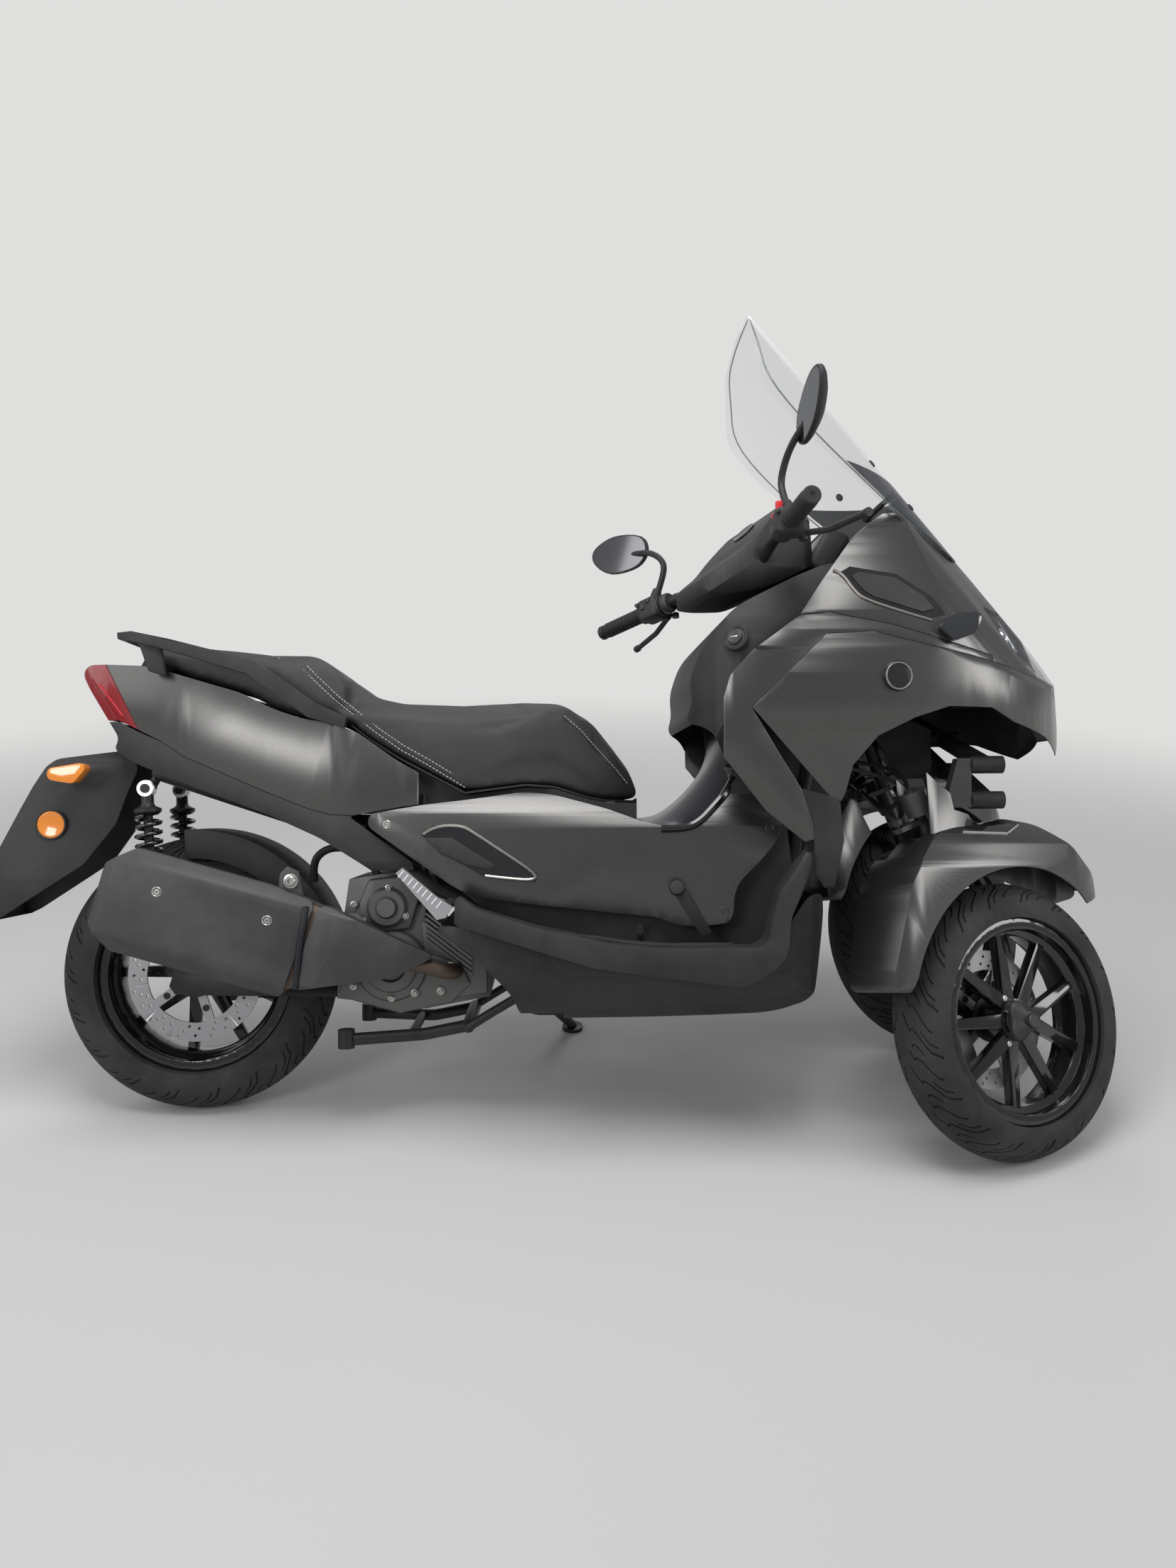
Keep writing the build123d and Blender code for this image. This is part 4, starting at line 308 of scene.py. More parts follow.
@dataclass
class Surface:
    """The outer skin of a CAD node or a finished piece, read in the upright machine's millimetres."""

    mesh: bpy.types.Mesh

    def __post_init__(self) -> None:
        """Builds the search tree."""
        back = UPRIGHT.inverted()
        points = [back @ v.co for v in self.mesh.vertices]
        self.tree = BVHTree.FromPolygons(points, [tuple(p.vertices) for p in self.mesh.polygons])

    def hit(self, start: Sequence[float], way: Sequence[float]) -> Vector | None:
        """Finds where a straight line first meets the skin.

        Args:
            start: where the line starts.
            way: its direction.

        Returns:
            The place, or None where the line misses.
        """
        return self.tree.ray_cast(Vector(start), Vector(way))[0]

    def side(self, x: float, z: float, hand: int) -> Vector:
        """The outermost place at a length and height; hand is -1 for the right and 1 for the left."""
        return self.hit((x, hand * 900, z), (0, -hand, 0)) or self.tree.find_nearest(Vector((x, hand * 250, z)))[0]

    def front(self, y: float, z: float) -> Vector | None:
        """The foremost place at a width and height, or None beside the skin."""
        return self.hit((2400, y, z), (-1, 0, 0))

    def top(self, x: float, y: float) -> Vector:
        """The highest place at a length and width."""
        return self.hit((x, y, 2500), (0, 0, -1)) or self.tree.find_nearest(Vector((x, y, 2500)))[0]


class Piece:
    """One new piece: a primitive shaped in edit mode in its own frame, then set in place and dressed."""

    def __init__(self, name: str, add: Callable[..., set[str]], **size: object) -> None:
        """Adds the primitive that the piece starts from.

        Args:
            name: the piece's name.
            add: the operator that adds the primitive.
            size: the operator's options.
        """
        if bpy.context.object and bpy.context.object.mode == "EDIT":
            bpy.ops.object.mode_set(mode="OBJECT")
        bpy.ops.object.select_all(action="DESELECT")
        add(**size)
        self.shape = bpy.context.object
        self.shape.name = name
        self.shape.data.name = name

    @classmethod
    def around(cls, name: str, count: int, fill: str = "NOTHING") -> "Piece":
        """Starts from a circle whose corners are then moved to an outline."""
        return cls(name, bpy.ops.mesh.primitive_circle_add, vertices=count, radius=1, fill_type=fill)

    @classmethod
    def turned(cls, name: str, section: Outline, sides: int) -> "Piece":
        """Turns a closed section round the Z axis.

        Args:
            name: the piece's name.
            section: radius and height of the section's corners, in order.
            sides: how many sides the round has.

        Returns:
            The turned piece.
        """
        piece = cls.around(name, len(section))
        for vertex, (radius, height) in zip(piece.shape.data.vertices, section):
            vertex.co = (radius, 0, height)
        piece.edit_all()
        bpy.ops.mesh.spin(steps=sides, angle=math.tau, center=(0, 0, 0), axis=(0, 0, 1))
        piece.close_up()
        return piece

    @classmethod
    def plate(cls, name: str, outline: Outline, depth: float, bevel: float = 0.0) -> "Piece":
        """Cuts a flat plate in the XY plane and gives it a thickness.

        Args:
            name: the piece's name.
            outline: the corners in order.
            depth: the thickness, up from z 0.
            bevel: the round of its edges.

        Returns:
            The plate.
        """
        piece = cls.around(name, len(outline), "NGON")
        for vertex, place in zip(piece.shape.data.vertices, outline):
            vertex.co = (place[0], place[1], 0)
        piece.edit_all()
        bpy.ops.mesh.extrude_region_move(TRANSFORM_OT_translate={"value": (0, 0, depth)})
        piece.close_up()
        if bevel:
            piece.bevel(bevel, 2, 35)
        return piece

    @classmethod
    def line(
        cls, name: str, points: Sequence[Sequence[float]], radius: float, sides: int = 8, closed: bool = False
    ) -> "Piece":
        """Draws a round bar along a smooth line through control points.

        Args:
            name: the piece's name.
            points: the line's control points.
            radius: the bar's radius.
            sides: about how many sides the bar has.
            closed: whether the line runs back to its start.

        Returns:
            The bar as a mesh.
        """
        piece = cls(name, bpy.ops.curve.primitive_nurbs_path_add)
        curve = piece.shape.data
        curve.splines.clear()
        spline = curve.splines.new("NURBS")
        spline.points.add(len(points) - 1)
        for control, place in zip(spline.points, points):
            control.co = (*place, 1)
        spline.order_u = 3
        spline.use_endpoint_u = not closed
        spline.use_cyclic_u = closed
        curve.resolution_u = 4
        curve.bevel_depth = radius
        curve.bevel_resolution = max(0, sides // 4 - 1)
        curve.use_fill_caps = True
        bpy.ops.object.convert(target="MESH")
        piece.shape = bpy.context.object
        return piece

    @classmethod
    def from_mesh(cls, name: str, mesh: bpy.types.Mesh) -> "Piece":
        """Starts from a mesh made before, such as a CAD node's copy or one of a repeated piece."""
        piece = cls.around(name, 3)
        piece.shape.data = mesh
        mesh.name = name
        return piece

    @classmethod
    def grid(cls, name: str, across: int, along: int) -> "Piece":
        """Starts from a flat grid from -1 to 1, whose corners are then moved."""
        return cls(name, bpy.ops.mesh.primitive_grid_add, x_subdivisions=across, y_subdivisions=along, size=2)

    @classmethod
    def block(cls, name: str, sizes: Point, width: float, segments: int = 2) -> "Piece":
        """Makes a box round the origin, with rounded edges of a width."""
        piece = cls(name, bpy.ops.mesh.primitive_cube_add, size=1)
        piece.shape.data.transform(Matrix.Diagonal((*sizes, 1)))
        piece.modify("BEVEL", width=width, segments=segments)
        return piece

    def edit_all(self) -> None:
        """Goes into edit mode with everything selected."""
        bpy.context.view_layer.objects.active = self.shape
        bpy.ops.object.mode_set(mode="EDIT")
        bpy.ops.mesh.select_mode(type="VERT")
        bpy.ops.mesh.select_all(action="SELECT")

    def pick_faces(self, wanted: Callable[[bpy.types.MeshPolygon], bool]) -> None:
        """Goes into edit mode with only the wanted faces selected."""
        bpy.context.view_layer.objects.active = self.shape
        bpy.ops.object.mode_set(mode="EDIT")
        bpy.ops.mesh.select_mode(type="FACE")
        bpy.ops.mesh.select_all(action="DESELECT")
        bpy.ops.object.mode_set(mode="OBJECT")
        for polygon in self.shape.data.polygons:
            polygon.select = wanted(polygon)
        bpy.ops.object.mode_set(mode="EDIT")

    def close_up(self, gap: float = 0.01) -> None:
        """Merges doubles, turns the faces outwards and leaves edit mode."""
        if self.shape.mode != "EDIT":
            self.edit_all()
        bpy.ops.mesh.select_all(action="SELECT")
        bpy.ops.mesh.remove_doubles(threshold=gap)
        bpy.ops.mesh.normals_make_consistent(inside=False)
        bpy.ops.object.mode_set(mode="OBJECT")

    def modify(self, kind: str, **settings: object) -> None:
        """Adds one modifier and applies it."""
        bpy.context.view_layer.objects.active = self.shape
        modifier = self.shape.modifiers.new(kind.lower(), kind)
        for key, value in settings.items():
            setattr(modifier, key, value)
        bpy.ops.object.modifier_apply(modifier=modifier.name)

    def move(self, matrix: Matrix) -> "Piece":
        """Moves the mesh itself; the object stays at the origin."""
        self.shape.data.transform(matrix)
        self.shape.matrix_world = Matrix()
        return self

    def bevel(self, width: float, segments: int, degrees: float) -> None:
        """Rounds the edges that bend by more than some degrees."""
        self.modify("BEVEL", width=width, segments=segments, limit_method="ANGLE", angle_limit=math.radians(degrees))

    def push(self, depth: float, share: float) -> None:
        """Extrudes the selected faces along Z and scales their end to a share of their width."""
        bpy.ops.mesh.extrude_region_move(TRANSFORM_OT_translate={"value": (0, 0, depth)})
        bpy.ops.transform.resize(value=(share, share, 1))

    def inset(self, wanted: Callable[[bpy.types.MeshPolygon], bool], rim: float, depth: float) -> None:
        """Raises the wanted faces by a depth, or sinks them where it is negative, inside a rim."""
        self.pick_faces(wanted)
        bpy.ops.mesh.inset(thickness=rim, depth=depth)
        bpy.ops.object.mode_set(mode="OBJECT")

    def join(self, others: Sequence["Piece"]) -> "Piece":
        """Takes other pieces into this one's mesh."""
        bpy.ops.object.select_all(action="DESELECT")
        for other in others:
            other.shape.select_set(True)
        self.shape.select_set(True)
        bpy.context.view_layer.objects.active = self.shape
        bpy.ops.object.join()
        return self

    def cut(self, tool: "Piece") -> None:
        """Cuts another piece's shape out of this one and throws the tool away."""
        self.modify("BOOLEAN", operation="DIFFERENCE", solver="EXACT", object=tool.shape)
        bpy.data.objects.remove(tool.shape)

    def hug(self, skin: Surface, hand: int, lift: float = 0.0) -> "Piece":
        """Bends a piece drawn in side view onto a skin: its y becomes height above the skin, outwards."""
        for vertex in self.shape.data.vertices:
            ground = skin.side(vertex.co.x, vertex.co.z, hand)
            vertex.co.y = ground.y + hand * (abs(vertex.co.y) + lift)
        return self

    def finish(
        self,
        body: str = "chassis",
        finish: Finish | ClearSheet = DARK_PLASTIC,
        slot: str = "dark_plastic",
        matrix: Matrix = UPRIGHT,
        replaces: Sequence[str] = (),
        smooth: float = 35,
    ) -> bpy.types.Object:
        """Sets the piece in place, dresses it and puts it on its body.

        Args:
            body: the CAD body it rides on.
            finish: its finish.
            slot: a material slot's name; it is not used.
            matrix: from the piece's own frame to the world.
            replaces: CAD nodes it stands for.
            smooth: edges flatter than this many degrees are shaded smooth.

        Returns:
            The finished object.
        """
        self.move(matrix)
        self.shape.data.materials.clear()
        self.shape.data.materials.append(finish.build())
        bpy.ops.object.select_all(action="DESELECT")
        self.shape.select_set(True)
        bpy.context.view_layer.objects.active = self.shape
        bpy.ops.object.shade_smooth_by_angle(angle=math.radians(smooth))
        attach(self.shape, body)
        if replaces:
            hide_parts(*replaces)
        log.info("%s: %d faces on %s", self.shape.name, len(self.shape.data.polygons), body)
        return self.shape


def placed(place: Sequence[float], way: Sequence[float] = (0, 0, 1)) -> Matrix:
    """A frame at a place whose Z points a given way.

    Args:
        place: the frame's origin.
        way: where its Z axis points.

    Returns:
        The frame as a matrix.
    """
    turn = Vector(way).normalized().to_track_quat("Z", "Y").to_matrix().to_4x4()
    return Matrix.Translation(Vector(place)) @ turn


def facing(axis: str, way: int) -> Callable[[bpy.types.MeshPolygon], bool]:
    """A test for the faces that look along an axis, or against it where way is -1."""
    return lambda face: getattr(face.normal, axis) * way > FLAT


def joined(name: str, pieces: Sequence[Piece]) -> Piece:
    """Joins pieces into one of a new name."""
    whole = pieces[0].join(pieces[1:])
    whole.shape.name = name
    return whole


@dataclass
class RoundedPanels:
    """CAD nodes whose sharp edges get a small round, by modifiers that leave the node's own mesh alone."""

    weld: float = 0.00005
    segments: int = 2
    angle: float = math.radians(24)

    def soften(self, node: str, width: float) -> None:
        """Welds, bevels and smooths one CAD node.

        Args:
            node: the CAD node's name.
            width: the round in metres.
        """
        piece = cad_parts[node]
        for polygon in piece.data.polygons:
            polygon.use_smooth = True
        weld = piece.modifiers.new("weld", "WELD")
        weld.merge_threshold = self.weld
        bevel = piece.modifiers.new("edge_round", "BEVEL")
        bevel.width = width
        bevel.segments = self.segments
        bevel.limit_method = "ANGLE"
        bevel.angle_limit = self.angle
        bevel.harden_normals = True


@dataclass
class Tread:
    """A tyre with chevron grooves, turned from one pitch of its pattern."""

    name: str
    body: str
    matrix: Matrix
    radius: float
    half: float
    bead_half: float
    pitches: int

    groove: float = 3.4
    bead_low: float = 179.0
    bead_high: float = 193.5
    tread_reach: float = math.radians(72)
    wall_reach: float = math.radians(100)
    columns: int = 11
    # Where the pattern's lines lie along one pitch: grooves are the narrow gaps
    rows: tuple[float, ...] = (0.0, 0.07, 0.17, 0.30, 0.345, 0.45, 0.55, 0.605, 0.73, 0.84, 0.885, 1.0)
    # The first and last column of the groove in a row, counted from the tread's middle
    grooves: tuple[tuple[int, tuple[int, int]], ...] = ((0, (1, 10)), (3, (3, 5)), (6, (2, 8)), (9, (6, 9)))

    def is_groove(self, row: int, column: int) -> bool:
        """Whether a field of the pattern is cut away; columns count from the tread's middle."""
        first, last = dict(self.grooves).get(row, (1, 0))
        return first <= column <= last

    def slant(self, share: float) -> float:
        """How far along the pitch the lines lean at a share of the way to the shoulder."""
        corners = ((0.0, 0.0), (0.3, 0.55), (0.38, 0.46), (0.72, 0.95), (1.0, 1.12))
        for (s0, v0), (s1, v1) in zip(corners, corners[1:]):
            if share <= s1:
                return v0 + (v1 - v0) * (share - s0) / (s1 - s0)
        return corners[-1][1]

    def section(self) -> list[tuple[float, float, float]]:
        """The section's corners round the tyre: across, radius, and share of the tread from -1 to 1, 9 off it."""
        core = self.radius - self.half
        places = []
        count = self.columns
        for step in range(-count, count + 1):
            share = step / count
            angle = self.tread_reach * share
            places.append((self.half * math.sin(angle), core + self.half * math.cos(angle), share))
        wall = []
        for step in (1, 2, 3):
            angle = self.tread_reach + (self.wall_reach - self.tread_reach) * step / 3
            wall.append((self.half * math.sin(angle), core + self.half * math.cos(angle)))
        low = wall[-1]
        bead = (self.bead_half, self.bead_high)
        for share in (0.35, 0.42, 0.75, 1.0):
            proud = 0.8 if share == 0.42 else 0.0
            wall.append((low[0] + (bead[0] - low[0]) * share + proud, low[1] + (bead[1] - low[1]) * share))
        wall.append((self.bead_half, self.bead_low))
        right = [(across, high, 9.0) for across, high in wall]
        left = [(-across, high, 9.0) for across, high, _ in reversed(right)]
        return left + places + right

    def make(self, replaces: str) -> None:
        """Builds the tyre and puts it in its CAD node's place.

        Args:
            replaces: the CAD tyre that it stands for.
        """
        section = self.section()
        pitch = math.tau / self.pitches
        piece = Piece.grid(self.name, len(section), len(self.rows) - 1)
        mesh = piece.shape.data
        wide = len({round(v.co.x, 5) for v in mesh.vertices})
        order = sorted(mesh.vertices, key=lambda v: (round(v.co.y, 5), round(v.co.x, 5)))
        middle = (len(section) - 1) / 2
        cells = {}
        for index, vertex in enumerate(order):
            row, column = cells[vertex.index] = divmod(index, wide)
            across, high, share = section[column % len(section)]
            angle = pitch * (self.rows[row] + self.slant(min(1.0, abs(share))))
            vertex.co = (high * math.cos(angle), across, high * math.sin(angle))

        def cut_away(face: bpy.types.MeshPolygon) -> bool:
            """Whether a face of the grid lies in a groove."""
            places = [cells[v] for v in face.vertices]
            row = min(place[0] for place in places)
            low = min(place[1] for place in places)
            return self.is_groove(row, int(low - middle if low >= middle else middle - low - 1))

        piece.pick_faces(cut_away)
        bpy.ops.mesh.extrude_region_shrink_fatten(TRANSFORM_OT_shrink_fatten={"value": -self.groove})
        bpy.ops.mesh.select_mode(type="VERT")
        bpy.ops.mesh.select_all(action="SELECT")
        turn = pitch * (self.pitches - 1)
        bpy.ops.mesh.spin(steps=self.pitches - 1, dupli=True, angle=turn, center=(0, 0, 0), axis=(0, 1, 0))
        piece.close_up(0.05)
        piece.finish(self.body, TYRE_RUBBER, "tyre", self.matrix, (replaces,), 28)


@dataclass
class Wheel:
    """One wheel's dressing: tread, hub cap, lug bolts, valve and drilled disc."""

    word: str
    body: str
    centre: Point
    kind: str
    hand: int
    tyre_radius: float
    tyre_half: float
    rim_half: float
    spoke_y: float
    disc_y: float
    disc_node: str
    tyre_node: str
    hub_cap: bool = True

    disc_radius: float = 133.5
    spoke_thick: float = 20.0
    bead_inset: float = 6.5
    well_radius: float = 160.0
    lug_circle: float = 49.0

    def axle(self) -> Matrix:
        """From the wheel's own millimetres, axle along Y, to the world."""
        return Matrix.Translation(self.centre) @ SPIN_AXES[self.kind] @ MM

    def matrix(self) -> Matrix:
        """The same with outboard towards -Y, so that the left wheel mirrors the right one."""
        return self.axle() @ (Matrix.Scale(-1, 4, (0, 1, 0)) if self.hand > 0 else Matrix())

    def face(self) -> float:
        """How far outboard the spokes' face lies."""
        return -self.spoke_y + self.spoke_thick / 2

    def finish(self, piece: Piece, finish: Finish, slot: str) -> None:
        """Turns a piece drawn with Z outboard onto the axle, and puts it on the wheel."""
        piece.move(self.matrix() @ OUTBOARD)
        if self.hand > 0:
            piece.close_up(0.000001)
        piece.finish(self.body, finish, slot, Matrix())

    def tread(self) -> None:
        """Makes the tyre."""
        pitches = 17 if self.kind == "front" else 18
        bead_half = self.rim_half - self.bead_inset
        name = f"{self.word}_tyre_tread"
        tyre = Tread(name, self.body, self.axle(), self.tyre_radius, self.tyre_half, bead_half, pitches)
        tyre.make(self.tyre_node)

    def cap(self) -> None:
        """Makes the three-lobed hub cap with its round centre."""
        lobes = []
        for step in range(36):
            angle = math.tau * step / 36
            reach = 35 + 6.5 * math.cos(3 * angle)
            lobes.append((reach * math.cos(angle), reach * math.sin(angle)))
        cap = Piece.plate(f"{self.word}_hub_cap", lobes, 20)
        cap.pick_faces(facing("z", 1))
        bpy.ops.mesh.inset(thickness=4, depth=4)
        cap.push(9, 0.62)
        cap.push(6, 0.8)
        bpy.ops.object.mode_set(mode="OBJECT")
        cap.bevel(1.6, 2, 30)
        section = [(0, 30), (12.5, 30), (14, 32), (14, 46), (12.5, 48), (10.5, 46.4), (0, 46.4)]
        cap.join([Piece.turned("hub_knob", section, 28)])
        cap.move(Matrix.Translation((0, 0, self.face() - 3)))
        self.finish(cap, DARK_ALLOY, "leg_paint")

    def lugs(self) -> None:
        """Makes the three lug bolts between the spokes' roots, each in its dished seat."""
        seat = [(8, -12), (15.5, -12), (15.5, 2), (13.5, 3), (11, -4), (8, -4)]
        head = [(0, -4), (9.5, -4), (9.5, -2.5), (6.6, -2), (6.6, 5), (5.4, 6.4), (0, 6.4)]
        for kind, section, sides, finish, slot in (
            ("seats", seat, 20, RIM_BLACK, "rim_paint"),
            ("bolts", head, 6, BRIGHT_ALLOY, "disc_steel"),
        ):
            away = Matrix.Translation((self.lug_circle, 0, self.face() - 6))
            turned = [
                Piece.turned("lug", section, sides).move(Matrix.Rotation(math.radians(turn), 4, "Z") @ away)
                for turn in (0, 120, 240)
            ]
            self.finish(joined(f"{self.word}_lug_{kind}", turned), finish, slot)

    def valve(self) -> None:
        """Makes the tyre valve on the rim's well."""
        section = [
            (0, 0), (6.5, 0), (6.5, 3), (4, 5), (4, 20), (3.2, 21), (3.2, 24), (4.2, 24.5), (4.2, 33), (3.4, 35),
            (0, 35),
        ]
        stem = Piece.turned(f"{self.word}_valve", section, 12)
        angle = math.radians(88)
        away = Vector((math.cos(angle), math.sin(angle), 0))
        stem.move(placed(away * self.well_radius + Vector((0, 0, 12)), Vector((0, 0, 0.35)) - away))
        self.finish(stem, FRAME_BLACK, "rim_paint")

    def disc(self) -> None:
        """Drills the brake disc: 24 slanting rows of two or three holes."""
        disc = Piece.from_mesh(f"{self.word}_drilled_disc", merged_copy(self.disc_node))
        disc.close_up(0.00002)
        drills = []
        for turn in range(24):
            long = turn % 2
            for row in range(2 + long):
                angle = math.radians(turn * 15 + row * 4.2)
                reach = self.disc_radius - 9 - (row * 10.5 if long else row * 14 + 3)
                drill = Piece("drill", bpy.ops.mesh.primitive_cylinder_add, vertices=10, radius=3.1, depth=16)
                place = (math.cos(angle) * reach, math.sin(angle) * reach, -self.disc_y)
                drills.append(drill.move(Matrix.Translation(place)))
        disc.cut(joined("drills", drills).move(self.matrix() @ OUTBOARD))
        disc.finish(self.body, DISC_STEEL, "disc_steel", Matrix(), (self.disc_node,), 30)

    def disc_centre(self) -> None:
        """Makes the disc's dark carrier with its bolts."""
        circle = self.disc_radius - 64
        out = -self.disc_y
        section = [(21, out + 2.3), (44, out + 2.3), (44, out + 5.5), (40, out + 7), (23, out + 7), (21, out + 6)]
        plate = Piece.turned(f"{self.word}_disc_carrier", section, 40)
        head = [(0, 0), (7, 0), (7, 1.2), (5, 1.4), (5, 2.6), (3, 2.6), (3, 1.4), (0, 1.4)]
        bolts = []
        for turn in range(5):
            angle = math.tau * turn / 5
            place = (math.cos(angle) * circle, math.sin(angle) * circle, out + 2.2)
            bolts.append(Piece.turned("carrier_bolt", head, 14).move(Matrix.Translation(place)))
        plate.join(bolts)
        self.finish(plate, DISC_CARRIER, "leg_paint")

    def make(self) -> None:
        """Makes the whole wheel's dressing."""
        self.tread()
        if self.hub_cap:
            self.cap()
            self.lugs()
        self.valve()
        self.disc()
        self.disc_centre()


@dataclass
class Saddle:
    """The padded seat: a vinyl cover filled by a cloth simulation, with seams and stitching laid on after."""

    voxel: float = 0.0055
    pressure: float = 4.0
    most: float = 0.004
    frames: int = 20
    stitch_pitch: float = 7.0
    stitch_share: float = 0.62
    stitch_radius: float = 0.75
    row_gap: float = 5.0
    step_seam: Outline = (
        (236, 888), (262, 862), (300, 826), (338, 796), (380, 762), (430, 727), (478, 700), (524, 672), (556, 652),
    )
    front_seam: Outline = ((742, 786), (776, 757), (812, 718), (846, 682), (872, 652))
    pillion_seam: Outline = (
        (176, -112), (196, -70), (204, -30), (204, 30), (196, 70), (176, 112),
    )

    def shell(self) -> Piece:
        """Remeshes a slightly smaller copy of the CAD cushion."""
        pad = Piece.from_mesh("seat_cover", merged_copy("seat_cushion"))
        pad.close_up(0.00002)
        pad.modify("REMESH", mode="VOXEL", voxel_size=self.voxel)
        pad.modify("SMOOTH", factor=0.5, iterations=14)
        return pad

    def fill(self, pad: Piece) -> None:
        """Blows the cover up by simulation and limits how far each point goes."""
        start = [v.co.copy() for v in pad.shape.data.vertices]
        scene = bpy.context.scene
        cloth = pad.shape.modifiers.new("cloth", "CLOTH")
        cloth.settings.quality = 5
        cloth.settings.mass = 0.3
        cloth.settings.tension_stiffness = 40
        cloth.settings.compression_stiffness = 40
        cloth.settings.use_pressure = True
        cloth.settings.uniform_pressure_force = self.pressure
        cloth.settings.effector_weights.gravity = 0
        cloth.collision_settings.use_collision = False
        cloth.collision_settings.use_self_collision = False
        for step in range(1, self.frames + 1):
            scene.frame_set(step)
        bpy.context.view_layer.objects.active = pad.shape
        bpy.ops.object.modifier_apply(modifier=cloth.name)
        scene.frame_set(1)
        for vertex, was in zip(pad.shape.data.vertices, start):
            moved = vertex.co - was
            if moved.length > self.most:
                vertex.co = was + moved.normalized() * self.most

    def make(self) -> None:
        """Makes the seat cover, its seams and their stitching."""
        pad = self.shell()
        self.fill(pad)
        pad.modify("SMOOTH", factor=0.5, iterations=8)
        pad.modify("SUBSURF", levels=1, render_levels=1)
        skin = Surface(pad.shape.data.copy())
        pad.finish("seat", SEAT_VINYL, "seat_vinyl", Matrix(), ("seat_cushion",), 60)
        for hand, word in HANDS:
            for name, places in (("step_seam", self.step_seam), ("front_seam", self.front_seam)):
                self.seam(f"{name}_{word}", [skin.side(x, z, hand) for x, z in places], hand)
        self.seam("pillion_seam", [skin.top(x, y) for x, y in self.pillion_seam], 0)

    def seam(self, name: str, line: Sequence[Vector], hand: int) -> None:
        """Lays one seam: a thin piping line with a row of stitches on each side.

        Args:
            name: the seam's name.
            line: places on the cover along it.
            hand: which side the line lies on; 0 for across the top.
        """
        piping = Piece.line(name, line, 1.2, 8)
        piping.finish("seat", SEAT_PIPING, "seat_vinyl")
        out = Vector((0, hand, 0)) if hand else Vector((0, 0, 1))
        beads = []
        for row in (-1, 1):
            for start, end in zip(line, line[1:]):
                run = end - start
                way = run.normalized()
                count = max(1, int(run.length / self.stitch_pitch))
                length = run.length / count * self.stitch_share
                across = way.cross(out).normalized() * self.row_gap * row
                for index in range(count):
                    place = start + run * ((index + 0.18) / count) + across
                    bead = Piece(
                        "stitch", bpy.ops.mesh.primitive_cylinder_add, vertices=6, radius=self.stitch_radius,
                        depth=length,
                    )
                    beads.append(bead.move(placed(place + way * length / 2 + out * 0.9, way)))
        joined(f"{name}_stitches", beads).finish("seat", STITCH, "seat_vinyl")


def side_plate(name: str, outline: Outline, thick: float, cuts: int = 5) -> Piece:
    """Draws a plate in side view, (x, z), with its thickness along y and enough fields to bend onto a skin.

    Args:
        name: the plate's name.
        outline: its corners in side view, in order.
        thick: its thickness.
        cuts: how finely it is divided, in both directions.

    Returns:
        The plate, from y 0 to y thick.
    """
    piece = Piece.around(name, len(outline), "NGON")
    for vertex, (x, z) in zip(piece.shape.data.vertices, outline):
        vertex.co = (x, 0, z)
    for index, count, way in ((0, cuts * 3, Vector((1, 0, 0))), (1, cuts, Vector((0, 0, 1)))):
        low, high = min(p[index] for p in outline), max(p[index] for p in outline)
        for step in range(1, count):
            piece.edit_all()
            bpy.ops.mesh.bisect(plane_co=way * (low + (high - low) * step / count), plane_no=way)
            bpy.ops.object.mode_set(mode="OBJECT")
    piece.edit_all()
    bpy.ops.mesh.extrude_region_move(TRANSFORM_OT_translate={"value": (0, thick, 0)})
    piece.close_up()
    return piece


def smooth_outline(corners: Outline, steps: int = 4) -> list[tuple[float, float]]:
    """Rounds a closed outline with a curve that runs through its corners.

    Args:
        corners: the outline's corners.
        steps: how many places each side gets.

    Returns:
        The rounded outline.
    """
    count = len(corners)
    out = []
    for index in range(count):
        a, b, c, d = (Vector(corners[(index + shift) % count]) for shift in (-1, 0, 1, 2))
        for step in range(steps):
            t = step / steps
            bend = (2 * a - 5 * b + 4 * c - d) * t**2 + (3 * b - a - 3 * c + d) * t**3
            out.append(tuple(0.5 * (2 * b + (c - a) * t + bend)))
    return out


def shrunk(outline: Outline, share: float) -> list[tuple[float, float]]:
    """Draws an outline in towards its middle, to a share of its size."""
    middle = Vector((sum(p[0] for p in outline), sum(p[1] for p in outline))) / len(outline)
    return [tuple(middle + (Vector(p) - middle) * share) for p in outline]


def screw(name: str, radius: float = 8.0, deep: float = 2.2) -> Piece:
    """Makes a socket-head screw in its round cup, its face up along Z."""
    cup = [
        (radius, 0.6), (radius - 1.2, 1.3), (radius - 2.2, 0.4), (radius - 2.6, -deep), (radius - 3.4, -deep),
        (radius - 3.4, -deep - 2), (radius, -deep - 2),
    ]
    head = [
        (0, -deep - 1), (radius - 3.3, -deep - 1), (radius - 3.3, -0.6), (radius - 4.2, 0.2), (1.9, 0.2), (1.9, -1.6),
        (0, -1.6),
    ]
    return Piece.turned(name, cup, 22).join([Piece.turned("screw_head", head, 18)])


